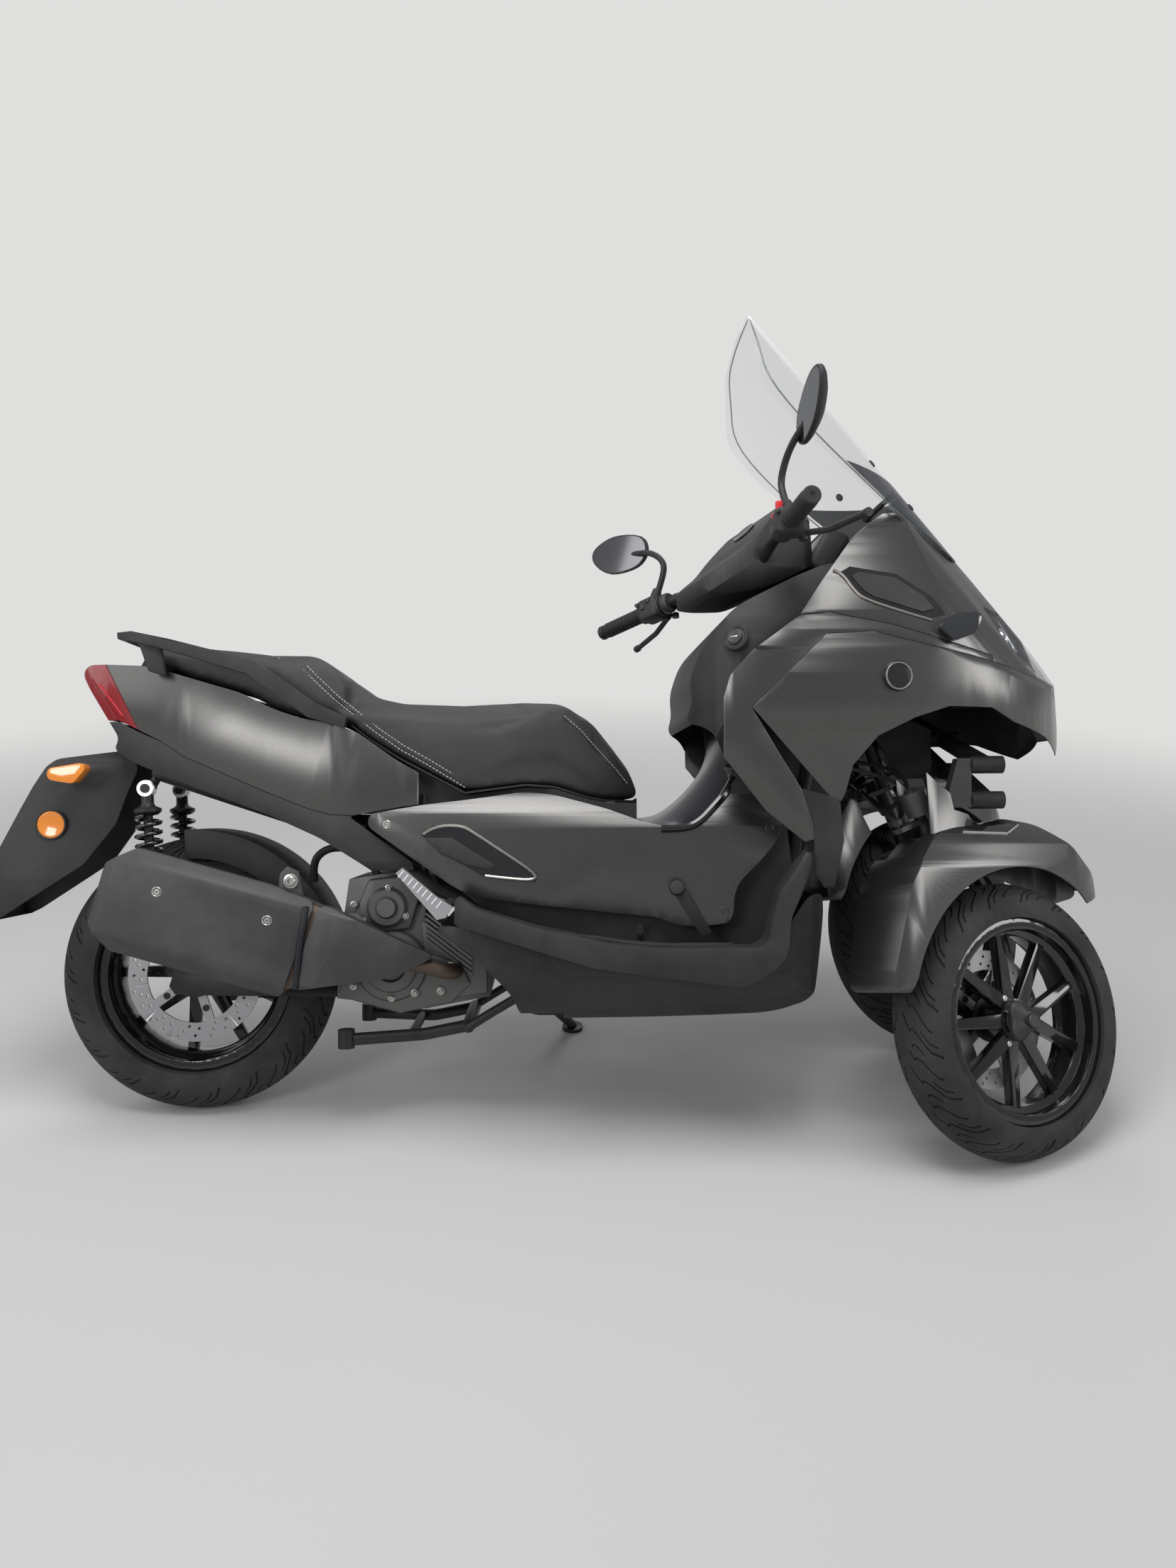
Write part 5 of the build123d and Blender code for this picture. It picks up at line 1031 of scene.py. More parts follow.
@dataclass
class SideTrim:
    """What is let into or fixed onto the bodywork's sides."""

    vent: Outline = (
        (471, 557), (492, 575), (546, 577), (572, 562), (632, 522), (693, 481), (688, 467), (640, 470), (590, 477),
        (551, 500), (508, 522),
    )
    vent_panel: Outline = ((476, 552), (528, 552), (612, 499), (600, 491), (552, 503), (508, 524))
    vent_brow: Outline = (
        (474, 559), (492, 574), (546, 576), (572, 561), (632, 521), (690, 482), (685, 470), (640, 473), (592, 479),
    )
    screws: tuple[tuple[str, float, float], ...] = (
        ("side_covers", 405, 578), ("side_covers", 1140, 566), ("side_covers", 1050, 408), ("belly_cover", 1152, 286),
    )
    upper_vent: Outline = (
        (1276, 1056), (1296, 1068), (1384, 1052), (1444, 1004), (1466, 968), (1436, 960), (1326, 1000), (1304, 1014),
    )
    upper_brow: Outline = (
        (1262, 1060), (1278, 1057), (1300, 1010), (1322, 996), (1380, 974), (1436, 956),
    )

    def make(self) -> None:
        """Makes the trim on both sides."""
        skins = {name: Surface(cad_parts[name].data) for name in ("side_covers", "upper_cowl", "belly_cover")}
        for hand, word in HANDS:
            self.side_vent(skins["side_covers"], hand, word)
            self.upper(skins["upper_cowl"], hand, word)
            for index, (node, x, z) in enumerate(self.screws):
                self.screw(skins[node], x, z, hand, f"body_screw_{word}_{index}")

    def screw(self, skin: Surface, x: float, z: float, hand: int, name: str) -> None:
        """Sets one screw into a panel."""
        ahead = skin.side(x + 6, z, hand) - skin.side(x - 6, z, hand)
        above = skin.side(x, z + 6, hand) - skin.side(x, z - 6, hand)
        out = ahead.cross(above)
        if out.y * hand < 0:
            out = -out
        piece = screw(name).move(placed(skin.side(x, z, hand), out))
        piece.finish("chassis", BOLT_STEEL if name.endswith("0") else DARK_ALLOY, "dark_plastic")

    def side_vent(self, skin: Surface, hand: int, word: str) -> None:
        """Makes the side vent: a black recess, a grained slat and a bright brow."""
        back = side_plate(f"side_vent_{word}", self.vent, 0.8)
        back.hug(skin, hand, 0.2).finish("chassis", GLOSS_BLACK, "dark_plastic")
        slat = side_plate(f"side_vent_slat_{word}", self.vent_panel, 2.6)
        slat.bevel(0.9, 2, 50)
        slat.hug(skin, hand, 0.9).finish()
        self.brow(f"side_vent_brow_{word}", skin, hand, self.vent_brow, 1.4, 3.2)

    def upper(self, skin: Surface, hand: int, word: str) -> None:
        """Makes the vent below the screen: a grained panel in a black field with a bright brow."""
        back = side_plate(f"upper_vent_{word}", self.upper_vent, 1.0)
        back.hug(skin, hand, 0.3).finish("chassis", GLOSS_BLACK, "dark_plastic")
        panel = side_plate(f"upper_vent_panel_{word}", shrunk(self.upper_vent, 0.78), 2.0)
        panel.hug(skin, hand, 1.0).finish()
        self.brow(f"upper_vent_brow_{word}", skin, hand, self.upper_brow, 1.6, 3.0)

    def brow(self, name: str, skin: Surface, hand: int, places: Outline, lift: float, radius: float) -> None:
        """Lays a bright bar along places on a skin, lifted off it.

        Args:
            name: the bar's name.
            skin: what it lies on.
            hand: which side it lies on.
            places: its way in side view.
            lift: how far its middle is off the skin.
            radius: its radius.
        """
        line = [skin.side(x, z, hand) + Vector((0, hand * lift, 0)) for x, z in places]
        Piece.line(name, line, radius, 12).finish("chassis", CHROME, "bright_alloy")


@dataclass
class Liners:
    """Dark inner walls that close the view through the bodywork."""

    tunnel: Outline = (
        (560, 590), (700, 600), (860, 585), (960, 560), (1040, 600), (1090, 680), (1100, 790), (1200, 790), (1190, 640),
        (1180, 560), (1192, 470), (1180, 380), (1120, 340), (700, 352), (600, 400), (520, 470),
    )
    seat_ledge: Outline = (
        (380, 730), (425, 702), (552, 634), (589, 639), (669, 649), (726, 645), (794, 624), (828, 618), (888, 616),
        (888, 560), (540, 560), (400, 640),
    )
    cowl: Outline = (
        (1060, 800), (1092, 900), (1160, 985), (1300, 1000), (1330, 900), (1285, 760), (1278, 600), (1240, 540),
        (1080, 560),
    )
    tail: Outline = (
        (-60, 885), (28, 858), (118, 831), (178, 799), (239, 779), (296, 768), (296, 730), (178, 750), (28, 810),
        (-60, 850),
    )
    thick: float = 3.0

    def make(self) -> None:
        """Makes the walls on both sides and the tail's filler."""
        walls = (
            ("tunnel_wall", self.tunnel, 172), ("seat_ledge", self.seat_ledge, 140), ("cowl_liner", self.cowl, 124)
        )
        for hand, word in HANDS:
            for name, outline, away in walls:
                wall = side_plate(f"{name}_{word}", outline, self.thick, 2)
                wall.move(Matrix.Translation((0, hand * away - self.thick / 2, 0)))
                wall.finish()
            shelf = Piece.grid(f"cockpit_shelf_{word}", 6, 4)
            for vertex in shelf.shape.data.vertices:
                u, v = (vertex.co.x + 1) / 2, (vertex.co.y + 1) / 2
                x = 290 * u
                vertex.co = (1096 + x, hand * (54 + 132 * v), 958 + min(82, 0.5 * x) + 14 * v)
            shelf.modify("SOLIDIFY", thickness=self.thick)
            shelf.close_up()
            shelf.finish()
        filler = side_plate("tail_filler", self.tail, 180, 2)
        filler.move(Matrix.Translation((0, -90, 0)))
        filler.finish()


@dataclass
class TunnelCover:
    """The glossy cover along the tunnel's top, between the seat's nose and the leg shield."""

    path: tuple[tuple[float, float, float, float], ...] = (
        (896, 578, 186, 4), (936, 564, 190, 20), (972, 568, 192, 32), (1006, 582, 188, 40), (1036, 604, 182, 44),
        (1060, 632, 172, 44), (1076, 662, 160, 40), (1084, 700, 150, 32), (1084, 740, 140, 24), (1078, 790, 130, 10),
    )
    columns: int = 20
    fullness: float = 2.6

    def make(self) -> None:
        """Makes the cover: rows run along the tunnel, columns across it, bulging up and back in the middle."""
        rows = len(self.path)
        cover = Piece.grid("tunnel_cover", self.columns, rows - 1)
        order = sorted(cover.shape.data.vertices, key=lambda v: (round(v.co.y, 5), round(v.co.x, 5)))
        for index, vertex in enumerate(order):
            row, column = divmod(index, self.columns + 1)
            x, z, half, bulge = self.path[row]
            ahead = Vector(self.path[min(row + 1, rows - 1)][:2]) - Vector(self.path[max(row - 1, 0)][:2])
            normal = Vector((-ahead.y, ahead.x)).normalized()
            side = 2 * column / self.columns - 1
            lift = bulge * (1 - abs(side) ** self.fullness)
            vertex.co = (x + normal.x * lift, half * side, z + normal.y * lift)
        cover.modify("SOLIDIFY", thickness=3)
        cover.modify("SUBSURF", levels=1, render_levels=1)
        cover.close_up()
        cover.finish("chassis", TUNNEL_GLOSS, "dark_plastic", smooth=60)


@dataclass
class FootFloor:
    """Rubber ribs on the footboards and the strap lever beside the tunnel."""

    ribs: int = 6
    inner: float = 214.0
    pitch: float = 9.0
    run: tuple[float, float] = (800.0, 1070.0)

    def make(self) -> None:
        """Makes the ribs on both boards and the strap on the right."""
        skin = Surface(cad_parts["footboards"].data)
        start, end = self.run
        for hand, word in HANDS:
            ribs = []
            for index in range(self.ribs):
                y = hand * (self.inner + index * self.pitch)
                places = [start + (end - start) * step / 6 - index * 6 for step in range(7)]
                ribs.append(Piece.line("rib", [skin.top(x, y) + Vector((0, 0, 0.6)) for x in places], 1.8, 8))
            joined(f"footboard_ribs_{word}", ribs).finish("chassis", GRIP_RUBBER, "grip_rubber")
        knob = Piece.turned("strap_knob", [(0, 0), (13, 0), (15, 3), (15, 10), (12, 14), (0, 14)], 20)
        knob.bevel(1.2, 2, 30)
        knob.move(placed((958, -212, 452), (-0.2, -1, 0.2)))
        knob.finish()
        band = Piece.plate("strap_band", [(0, -11), (98, -11), (98, 11), (0, 11)], 3, 0.8)
        band.move(Matrix.Translation((962, -217, 446)) @ Matrix.Rotation(math.radians(58), 4, "Y") @ OUTBOARD)
        band.finish("chassis", GRIP_RUBBER, "grip_rubber")


@dataclass
class PegRibs:
    """The ribs along the folded pillion pegs."""

    start: tuple[float, float] = (438, 486)
    end: tuple[float, float] = (508, 428)

    def make(self) -> None:
        """Makes the ribs on both pegs."""
        skin = Surface(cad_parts["pillion_pegs"].data)
        run = (Vector(self.end) - Vector(self.start)).normalized()
        side = Vector((-run.y, run.x))
        for hand, word in HANDS:
            ribs = []
            for index in range(9):
                middle = Vector(self.start).lerp(Vector(self.end), index / 8)
                ends = [middle + side * 8, middle, middle - side * 8]
                line = [Vector((p.x, skin.side(middle.x, middle.y, hand).y, p.y)) for p in ends]
                ribs.append(Piece.line("rib", line, 2.4, 8))
            joined(f"peg_ribs_{word}", ribs).finish("chassis", BRIGHT_ALLOY, "bright_alloy")


@dataclass
class MudguardTrim:
    """The bare panel and bright edge on each front mudguard."""

    panel: Path = ((1523, -225, 600), (1631, -192, 567), (1598, -221, 552), (1495, -262, 556))

    def make(self) -> None:
        """Makes both mudguards' panels; the left is the right's mirror image in the wheel's own frame."""
        skin = Surface(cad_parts["front_mudguard_right"].data)
        a, b, c, d = (Vector(p) for p in self.panel)

        def laid(place: Vector) -> Vector:
            """Drops a place of the panel onto the mudguard."""
            return skin.hit(place + Vector((0, -60, 120)), (0, 0.45, -0.9)) or place

        right, left = WHEELS[:2]
        for wheel, over in ((right, UPRIGHT), (left, left.matrix() @ right.matrix().inverted() @ UPRIGHT)):
            word, body = wheel.word, f"front_leg_{wheel.word}"
            panel = Piece.grid(f"mudguard_panel_{word}", 8, 5)
            for vertex in panel.shape.data.vertices:
                u, v = (vertex.co.x + 1) / 2, (vertex.co.y + 1) / 2
                vertex.co = laid(a.lerp(b, u).lerp(d.lerp(c, u), v))
            panel.modify("SOLIDIFY", thickness=2.4, offset=0)
            panel.close_up()
            panel.finish(body, GLOSS_BLACK, "dark_plastic", over)
            for side, start, radius in (("front", b, 3.4), ("side", d, 2.2)):
                line = [laid(start.lerp(c, step / 4)) for step in range(5)]
                bar = Piece.line(f"mudguard_edge_{side}_{word}", line, radius, 10)
                bar.finish(body, BRIGHT_ALLOY, "bright_alloy", over)


@dataclass
class TailTrim:
    """Grab rail blades, hump pad, lamp details and reflectors at the back."""

    blade: Outline = (
        (-128, 957), (-96, 958), (-20, 941), (60, 920), (146, 897), (214, 850), (268, 812), (326, 786), (322, 764),
        (250, 786), (196, 826), (130, 872), (40, 900), (-30, 921), (-92, 938), (-126, 944),
    )

    def make(self) -> None:
        """Makes all of the tail's trim."""
        self.blades()
        self.hump()
        self.lamp()
        self.reflectors()

    def blades(self) -> None:
        """Makes the flat tapered grab rail with its struts in place of the plain tube."""
        path = ((326, 170), (207, 160), (140, 152), (-20, 144), (-112, 128), (-130, 116))
        pieces = []
        for hand, word in HANDS:
            rail = side_plate(f"grab_rail_{word}", self.blade, 22, 2)
            for vertex in rail.shape.data.vertices:
                x = vertex.co.x
                for (x0, y0), (x1, y1) in zip(path, path[1:]):
                    if x >= x1 or (x1, y1) == path[-1]:
                        mid = y0 + (y1 - y0) * (x - x0) / (x1 - x0)
                        break
                vertex.co.y = hand * (mid + vertex.co.y - 11)
            rail.close_up()
            rail.bevel(4.5, 3, 40)
            strut = side_plate("strut", ((-86, 944), (-40, 936), (-30, 870), (-64, 880)), 14, 2)
            for vertex in strut.shape.data.vertices:
                vertex.co.y = hand * (126 + vertex.co.y)
            strut.close_up()
            strut.bevel(3, 2, 40)
            pieces.append(rail.join([strut]))
        bridge = side_plate("bridge", ((-128, 957), (-96, 955), (-92, 942), (-126, 944)), 244, 2)
        bridge.move(Matrix.Translation((0, -122, 0)))
        bridge.bevel(3.5, 2, 50)
        rail = pieces[0].join([pieces[1], bridge])
        rail.shape.name = "grab_rail"
        rail.finish(replaces=("grab_rails",))

    def hump(self) -> None:
        """Makes the small padded hump behind the pillion's seat."""
        outline = ((-96, 896), (-88, 912), (-70, 922), (-20, 914), (60, 886), (62, 868), (-20, 884))
        hump = side_plate("tail_hump", outline, 176, 2)
        hump.move(Matrix.Translation((0, -88, 0)))
        hump.bevel(10, 4, 40)
        hump.finish()

    def lamp(self) -> None:
        """Makes the light bars inside the tail light's face."""
        skin = Surface(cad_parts["tail_light"].data)
        for hand, word in HANDS:
            for index, (z0, z1, x0, x1) in enumerate(((872, 790, -196, -140), (862, 796, -180, -128))):
                line = [skin.side(x0 + (x1 - x0) * t / 4, z0 + (z1 - z0) * t / 4, hand) for t in range(5)]
                bar = Piece.line(f"tail_light_bar_{word}_{index}", line, 2.0, 8)
                bar.finish("chassis", RED_PLASTIC if index else RED_LENS, "red_lens")

    def reflectors(self) -> None:
        """Makes the round amber reflectors and the flat carrier for a plate."""
        for hand, word in HANDS:
            seat = placed((-276, hand * 74, 582), (0, hand, 0))
            lens = Piece.turned(f"reflector_{word}", [(0, 0), (27, 0), (27, 3), (24, 4.5), (22, 3.6), (0, 5.2)], 32)
            lens.move(seat).finish("chassis", AMBER_LENS, "amber_lens")
            rim = Piece.turned(f"reflector_rim_{word}", [(27, -1), (30, -1), (30, 4), (28.5, 5), (27, 4)], 32)
            rim.move(seat).finish()
        carrier = Piece.plate("plate_carrier", [(-84, 0), (84, 0), (84, 112), (-84, 112)], 3, 1.2)
        carrier.inset(lambda face: face.normal.z > FLAT and face.area > 4000, 7, -1.2)
        skin = Surface(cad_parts["plate_holder"].data)
        low, high = (skin.hit((-900, 0, z), (1, 0, 0)) for z in (408, 518))
        up = (high - low).normalized()
        wide = Vector((0, 1, 0))
        turn = Matrix((wide, -up, wide.cross(-up))).transposed().to_4x4()
        carrier.move(Matrix.Translation(high + wide.cross(-up) * 1.2) @ turn)
        carrier.finish()


@dataclass
class Shocks:
    """The two rear spring shocks: damper, collars, coil and eyes."""

    foot: Point = (-67, 104, 386)
    head: Point = (-78, 104, 652)
    coil_radius: float = 22.5
    wire: float = 4.4
    turns: int = 9

    def make(self) -> None:
        """Makes both shocks in their CAD nodes' place."""
        pieces = []
        coils = []
        for hand, word in HANDS:
            foot = Vector((self.foot[0], hand * self.foot[1], self.foot[2]))
            head = Vector((self.head[0], hand * self.head[1], self.head[2]))
            run = head - foot
            frame_at = placed(foot, run)
            body = Piece.turned(
                f"shock_{word}",
                [(0, 12), (11, 12), (11, 32), (24, 36), (24, 42), (15, 44), (15, 150), (9, 152), (9, 212), (19, 214),
                 (26, 220), (26, 226), (15, 231), (12, 236), (12, 252), (0, 252)],
                24,
            )
            body.move(frame_at)
            pieces.append(body)
            for eye in (foot, head):
                section = [(8.7, -12), (16, -12), (16, -9), (17, -8), (17, 8), (16, 9), (16, 12), (8.7, 12)]
                ring = Piece.turned(f"shock_eye_{word}_{'foot' if eye is foot else 'head'}", section, 24)
                ring.move(placed(eye, (0, 1, 0)))
                ring.finish("chassis", BRIGHT_ALLOY, "bright_alloy")
            coil = Piece.around("coil", 10)
            for index, vertex in enumerate(coil.shape.data.vertices):
                angle = math.tau * index / 10
                vertex.co = (self.coil_radius + self.wire * math.cos(angle), 0, 44 + self.wire * math.sin(angle))
            pitch = 168 / self.turns
            coil.modify(
                "SCREW", angle=math.tau, screw_offset=pitch, iterations=self.turns, steps=26, render_steps=26,
                use_smooth_shade=True, use_merge_vertices=True,
            )
            coil.close_up()
            coil.move(frame_at)
            coils.append(coil)
        dampers = joined("shock_bodies", pieces)
        dampers.finish("chassis", FRAME_BLACK, "shock_black", UPRIGHT, ("shock_absorbers",))
        springs = joined("shock_springs", coils)
        springs.finish("chassis", GLOSS_BLACK, "shock_black", smooth=60)


@dataclass
class MufflerTrim:
    """Screws, a band and the hanger on the muffler."""

    def make(self) -> None:
        """Makes the muffler's screws, its hanger with a bolt, and its band."""
        skin = Surface(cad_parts["muffler_heat_shield"].data)
        for index, (x, z) in enumerate(((-21, 456), (183, 400))):
            piece = screw(f"shield_screw_{index}", 9.5)
            piece.move(placed(skin.side(x, z, -1), (0, -1, 0)))
            piece.finish("chassis", BOLT_STEEL, "bright_alloy")
        outline = ((196, 436), (200, 486), (214, 500), (236, 490), (250, 420), (238, 404))
        hanger = side_plate("muffler_hanger", outline, 6, 2)
        hanger.move(Matrix.Translation((0, -186, 0)))
        hanger.bevel(1.5, 2, 40)
        hanger.finish("chassis", SHIELD_PAINT, "shield_grey")
        section = [(0, 0), (14, 0), (14, 3), (10, 4), (10, 11), (8, 13), (5, 13), (5, 8), (0, 8)]
        bolt = Piece.turned("hanger_bolt", section, 18)
        bolt.move(placed((222, -186, 472), (0, -1, 0)))
        bolt.finish("chassis", BOLT_STEEL, "bright_alloy")
        line = [skin.side(262 - 7.5 * step, 452 - 47.5 * step, -1) + Vector((0, -1, 0)) for step in range(5)]
        band = Piece.line("muffler_band", line, 6.5, 12)
        band.finish("chassis", DARK_BAND, "exhaust_steel")


@dataclass
class EngineDress:
    """Case covers, ribs and bolts on the engine's right side."""

    face: float = -118.0
    bolts: Outline = (
        (332, 421), (399, 452), (349, 389), (432, 398), (330, 262), (404, 238), (449, 247), (500, 250), (478, 300),
        (360, 300), (520, 300), (386, 352),
    )
    hose: Path = (
        (240, -60, 462), (236, -64, 500), (262, -68, 528), (300, -72, 532), (340, -76, 520), (372, -84, 480),
        (380, -96, 452),
    )

    def make(self) -> None:
        """Makes the covers and their bolts."""
        case = Piece.turned(
            "engine_case", [(0, -4), (70, -4), (70, 10), (66, 16), (52, 19), (48, 26), (30, 30), (26, 25), (0, 25)], 40
        )
        case.move(placed((404, self.face, 300), (0, -1, 0)))
        pump = Piece.turned("pump", [(0, -4), (40, -4), (40, 18), (34, 24), (22, 24), (18, 34), (0, 34)], 32)
        pump.move(placed((396, self.face, 415), (0, -1, 0)))
        starter = Piece.turned("starter", [(0, -4), (30, -4), (30, 30), (24, 36), (0, 36)], 28)
        starter.move(placed((330, self.face + 4, 372), (-0.1, -1, 0.15)))
        blocks = [pump, starter]
        for corners, thick in (
            (((300, 250), (330, 232), (420, 206), (520, 226), (560, 262), (540, 306), (440, 330), (320, 320)), 12),
            (((330, 400), (360, 470), (430, 478), (462, 440), (440, 372), (360, 362)), 16),
            (((462, 388), (548, 330), (590, 290), (590, 244), (520, 236), (470, 300)), 8),
        ):
            block = side_plate("block", corners, thick, 1)
            block.move(Matrix.Translation((0, self.face - thick + 2, 0)))
            block.bevel(5, 3, 40)
            blocks.append(block)
        for drop in range(0, 60, 10):
            outline = ((470, 400 - drop), (560, 330 - drop), (562, 334 - drop), (472, 404 - drop))
            rib = side_plate("rib", outline, 16, 1)
            blocks.append(rib.move(Matrix.Translation((0, self.face - 14, 0))))
        case.join(blocks)
        case.finish("chassis", CAST_ALLOY, "cast_alloy")
        section = [(0, -6), (7.5, -6), (7.5, 1), (5.6, 1.4), (5.6, 7), (4.6, 8), (2.4, 8), (2.4, 5), (0, 5)]
        places = [placed((x, self.face - 16, z), (0, -1, 0)) for x, z in self.bolts]
        bolts = joined("engine_bolts", [Piece.turned("head", section, 12).move(place) for place in places])
        bolts.finish("chassis", BOLT_STEEL, "bright_alloy")
        hose = Piece.line("breather_hose", self.hose, 8, 12)
        hose.finish("chassis", GRIP_RUBBER, "grip_rubber")


@dataclass
class Cockpit:
    """What the rider sees: mirrors, grips, switches, bar cap and instrument panel."""

    mirror: Outline = ((-78, -16), (-44, -44), (38, -38), (88, 2), (84, 36), (20, 50), (-62, 26))
    grip_length: float = 125.0
    grip_ribs: int = 9
    switch_reach: float = 187.0

    def bar(self, hand: int) -> tuple[Vector, Vector]:
        """One side's end of the bar and the way that the bar runs out to it."""
        bend = Vector((1080, hand * 150, 1094))
        end = Vector((980, hand * 407.5, 1066))
        return end, (end - bend).normalized()

    def make(self) -> None:
        """Makes everything that rides on the handlebar, and the instrument panel on the body."""
        for hand, word in HANDS:
            self.mirror_head(hand, word)
            self.grip(hand, word)
            self.switches(hand, word)
        self.cap()
        self.panel()

    def mirror_head(self, hand: int, word: str) -> None:
        """Makes one mirror: a rounded housing with its stem and glass; the glass's dim colour is a painted dark
        reflection.
        """
        outline = smooth_outline([(-hand * across, up) for across, up in self.mirror])
        out = Vector((-1, -0.4 * hand, 0)).normalized()
        wide = Vector((0.4 * hand, -1, 0)).normalized()
        centre = Vector((1016, hand * 366, 1250))
        place = Matrix.Translation(centre) @ Matrix((wide, out.cross(wide), out)).transposed().to_4x4()
        housing = Piece.plate(f"mirror_{word}", outline, 9)
        housing.move(Matrix.Translation((0, 0, -9)))
        housing.pick_faces(facing("z", -1))
        for deep, share in ((-7, 0.86), (-6, 0.74), (-3, 0.6)):
            housing.push(deep, share)
        bpy.ops.object.mode_set(mode="OBJECT")
        housing.inset(facing("z", 1), 3.5, -1.5)
        housing.bevel(1.6, 2, 32)
        housing.move(place)
        path = ((1041, 262, 1100), (1050, 232, 1150), (1052, 226, 1185), (1044, 268, 1222), (1036, 322, 1238))
        stem = Piece.line("stem", [(x, hand * y, z) for x, y, z in path] + [centre - out * 16], 7, 14)
        boot = Piece.turned("boot", [(0, -14), (14, -14), (14, 0), (10, 26), (8, 30), (0, 30)], 20)
        boot.move(placed((1041, hand * 262, 1102), (0.1, -hand * 0.45, 0.9)))
        housing.join([stem, boot])
        housing.finish("handlebar", DARK_PLASTIC, "dark_plastic", BARS, ("mirrors",) if hand < 0 else ())
        # The glass is dimmed: a painted dark reflection
        glass = Piece.plate(f"mirror_glass_{word}", shrunk(outline, 0.94), 1.0)
        glass.move(place @ Matrix.Translation((0, 0, -1.6)))
        glass.finish("handlebar", MIRROR_GLASS_PAINTED_DARK, "disc_steel", BARS)

    def grip(self, hand: int, word: str) -> None:
        """Makes one ribbed grip with its end weight in place of the plain sleeve."""
        end, run = self.bar(hand)
        section = [(11.2, 0), (19.5, 0), (19.5, 4), (16.5, 5)]
        for rib in range(self.grip_ribs):
            start = 10 + rib * 11
            section += [(16.2, start), (17.4, start + 1.5), (17.4, start + 7.5), (16.2, start + 9)]
        section += [(16.0, 113), (13.5, 114), (13.5, 117), (11.2, 117)]
        grip = Piece.turned(f"grip_{word}", section, 28)
        grip.move(placed(end - run * self.grip_length, run))
        grip.finish("handlebar", GRIP_RUBBER, "grip_rubber", BARS, ("handlebar_grips",) if hand < 0 else ())
        section = [(0, 0), (15, 0), (16.5, 3), (16.5, 10), (14, 13), (5, 13), (4, 11), (0, 11)]
        weight = Piece.turned(f"bar_end_{word}", section, 24)
        weight.move(placed(end - run * 9, run))
        weight.finish("handlebar", DARK_PLASTIC, "dark_plastic", BARS)

    def switches(self, hand: int, word: str) -> None:
        """Makes one side's switch housing with its buttons and the lever's perch."""
        end, run = self.bar(hand)
        start = end - run * self.switch_reach
        box = Piece.block(f"switch_box_{word}", (50, 50, 52), 9, 3)
        box.inset(facing("x", -1), 5, 3)
        box.move(placed(start + run * 31, run))
        box.finish("handlebar", DARK_PLASTIC, "dark_plastic", BARS)
        for index, (slide, lift, size) in enumerate(((14, 14, 10), (30, 4, 12), (46, 14, 8))):
            button = Piece.block(f"switch_{word}_{index}", (7, size, 10), 2)
            button.move(placed(start + run * slide + Vector((-27, 0, lift)), run))
            finish = RED_PLASTIC if hand < 0 and index == 0 else DARK_ALLOY
            button.finish("handlebar", finish, "dark_plastic", BARS)
        section = [(11.4, 0), (21, 0), (23, 3), (23, 15), (21, 18), (11.4, 18)]
        perch = Piece.turned(f"lever_perch_{word}", section, 24)
        perch.move(placed(start - run * 22, run))
        cup = Piece.turned("cup", [(0, 0), (15, 0), (19, 3), (19, 22), (20.5, 22.5), (20.5, 27), (18, 29), (0, 29)], 26)
        cup.move(placed(start - run * 12 + Vector((33, 0, -6)), (0.12, 0, 1)))
        pivot = Piece.turned("pivot", [(0, 0), (8, 0), (8, 10), (6, 12), (0, 12)], 16)
        pivot.move(placed(start + run * 8 + Vector((38, 0, -22)), (0, 0, 1)))
        perch.join([cup, pivot])
        perch.finish("handlebar", DARK_ALLOY, "dark_plastic", BARS)
        if hand < 0:
            kill = Piece.block("kill_switch", (13, 30, 12), 3.5, 3)
            kill.move(placed(start + run * 22 + Vector((-16, 0, 27)), run))
            kill.finish("handlebar", RED_PLASTIC, "dark_plastic", BARS)

    def cap(self) -> None:
        """Makes the bare oval cap on the handlebar cover."""
        oval = [(34 * math.cos(math.tau * i / 32), 24 * math.sin(math.tau * i / 32)) for i in range(32)]
        cap = Piece.plate("bar_cover_cap", oval, 4)
        cap.inset(facing("z", 1), 5, -1.5)
        cap.bevel(1.2, 2, 40)
        turned = UPRIGHT.inverted() @ BARS
        out = (turned.to_3x3() @ Vector((-0.75, 0, 0.66))).normalized()
        skin = Surface(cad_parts["handlebar_cover"].data)
        cap.move(placed(skin.hit(turned @ Vector((1020, 0, 1260)), -out), out))
        cap.finish("handlebar", GLOSS_BLACK, "dark_plastic")

    def panel(self) -> None:
        """Makes the instrument panel: a hooded box with a dark bare screen, facing the rider."""
        hood = Piece.block("instrument_hood", (60, 210, 96), 14, 3)
        hood.inset(facing("x", -1), 9, -6)
        tilt = Matrix.Translation((1290, 0, 1128)) @ Matrix.Rotation(math.radians(28), 4, "Y")
        hood.move(tilt)
        hood.finish()
        screen = Piece.plate("instrument_screen", [(-84, -30), (84, -30), (84, 30), (-84, 30)], 2, 1)
        screen.move(tilt @ Matrix.Translation((-25, 0, 0)) @ placed((0, 0, 0), (-1, 0, 0)))
        screen.finish("chassis", SMOKED_LENS, "smoked_lens")


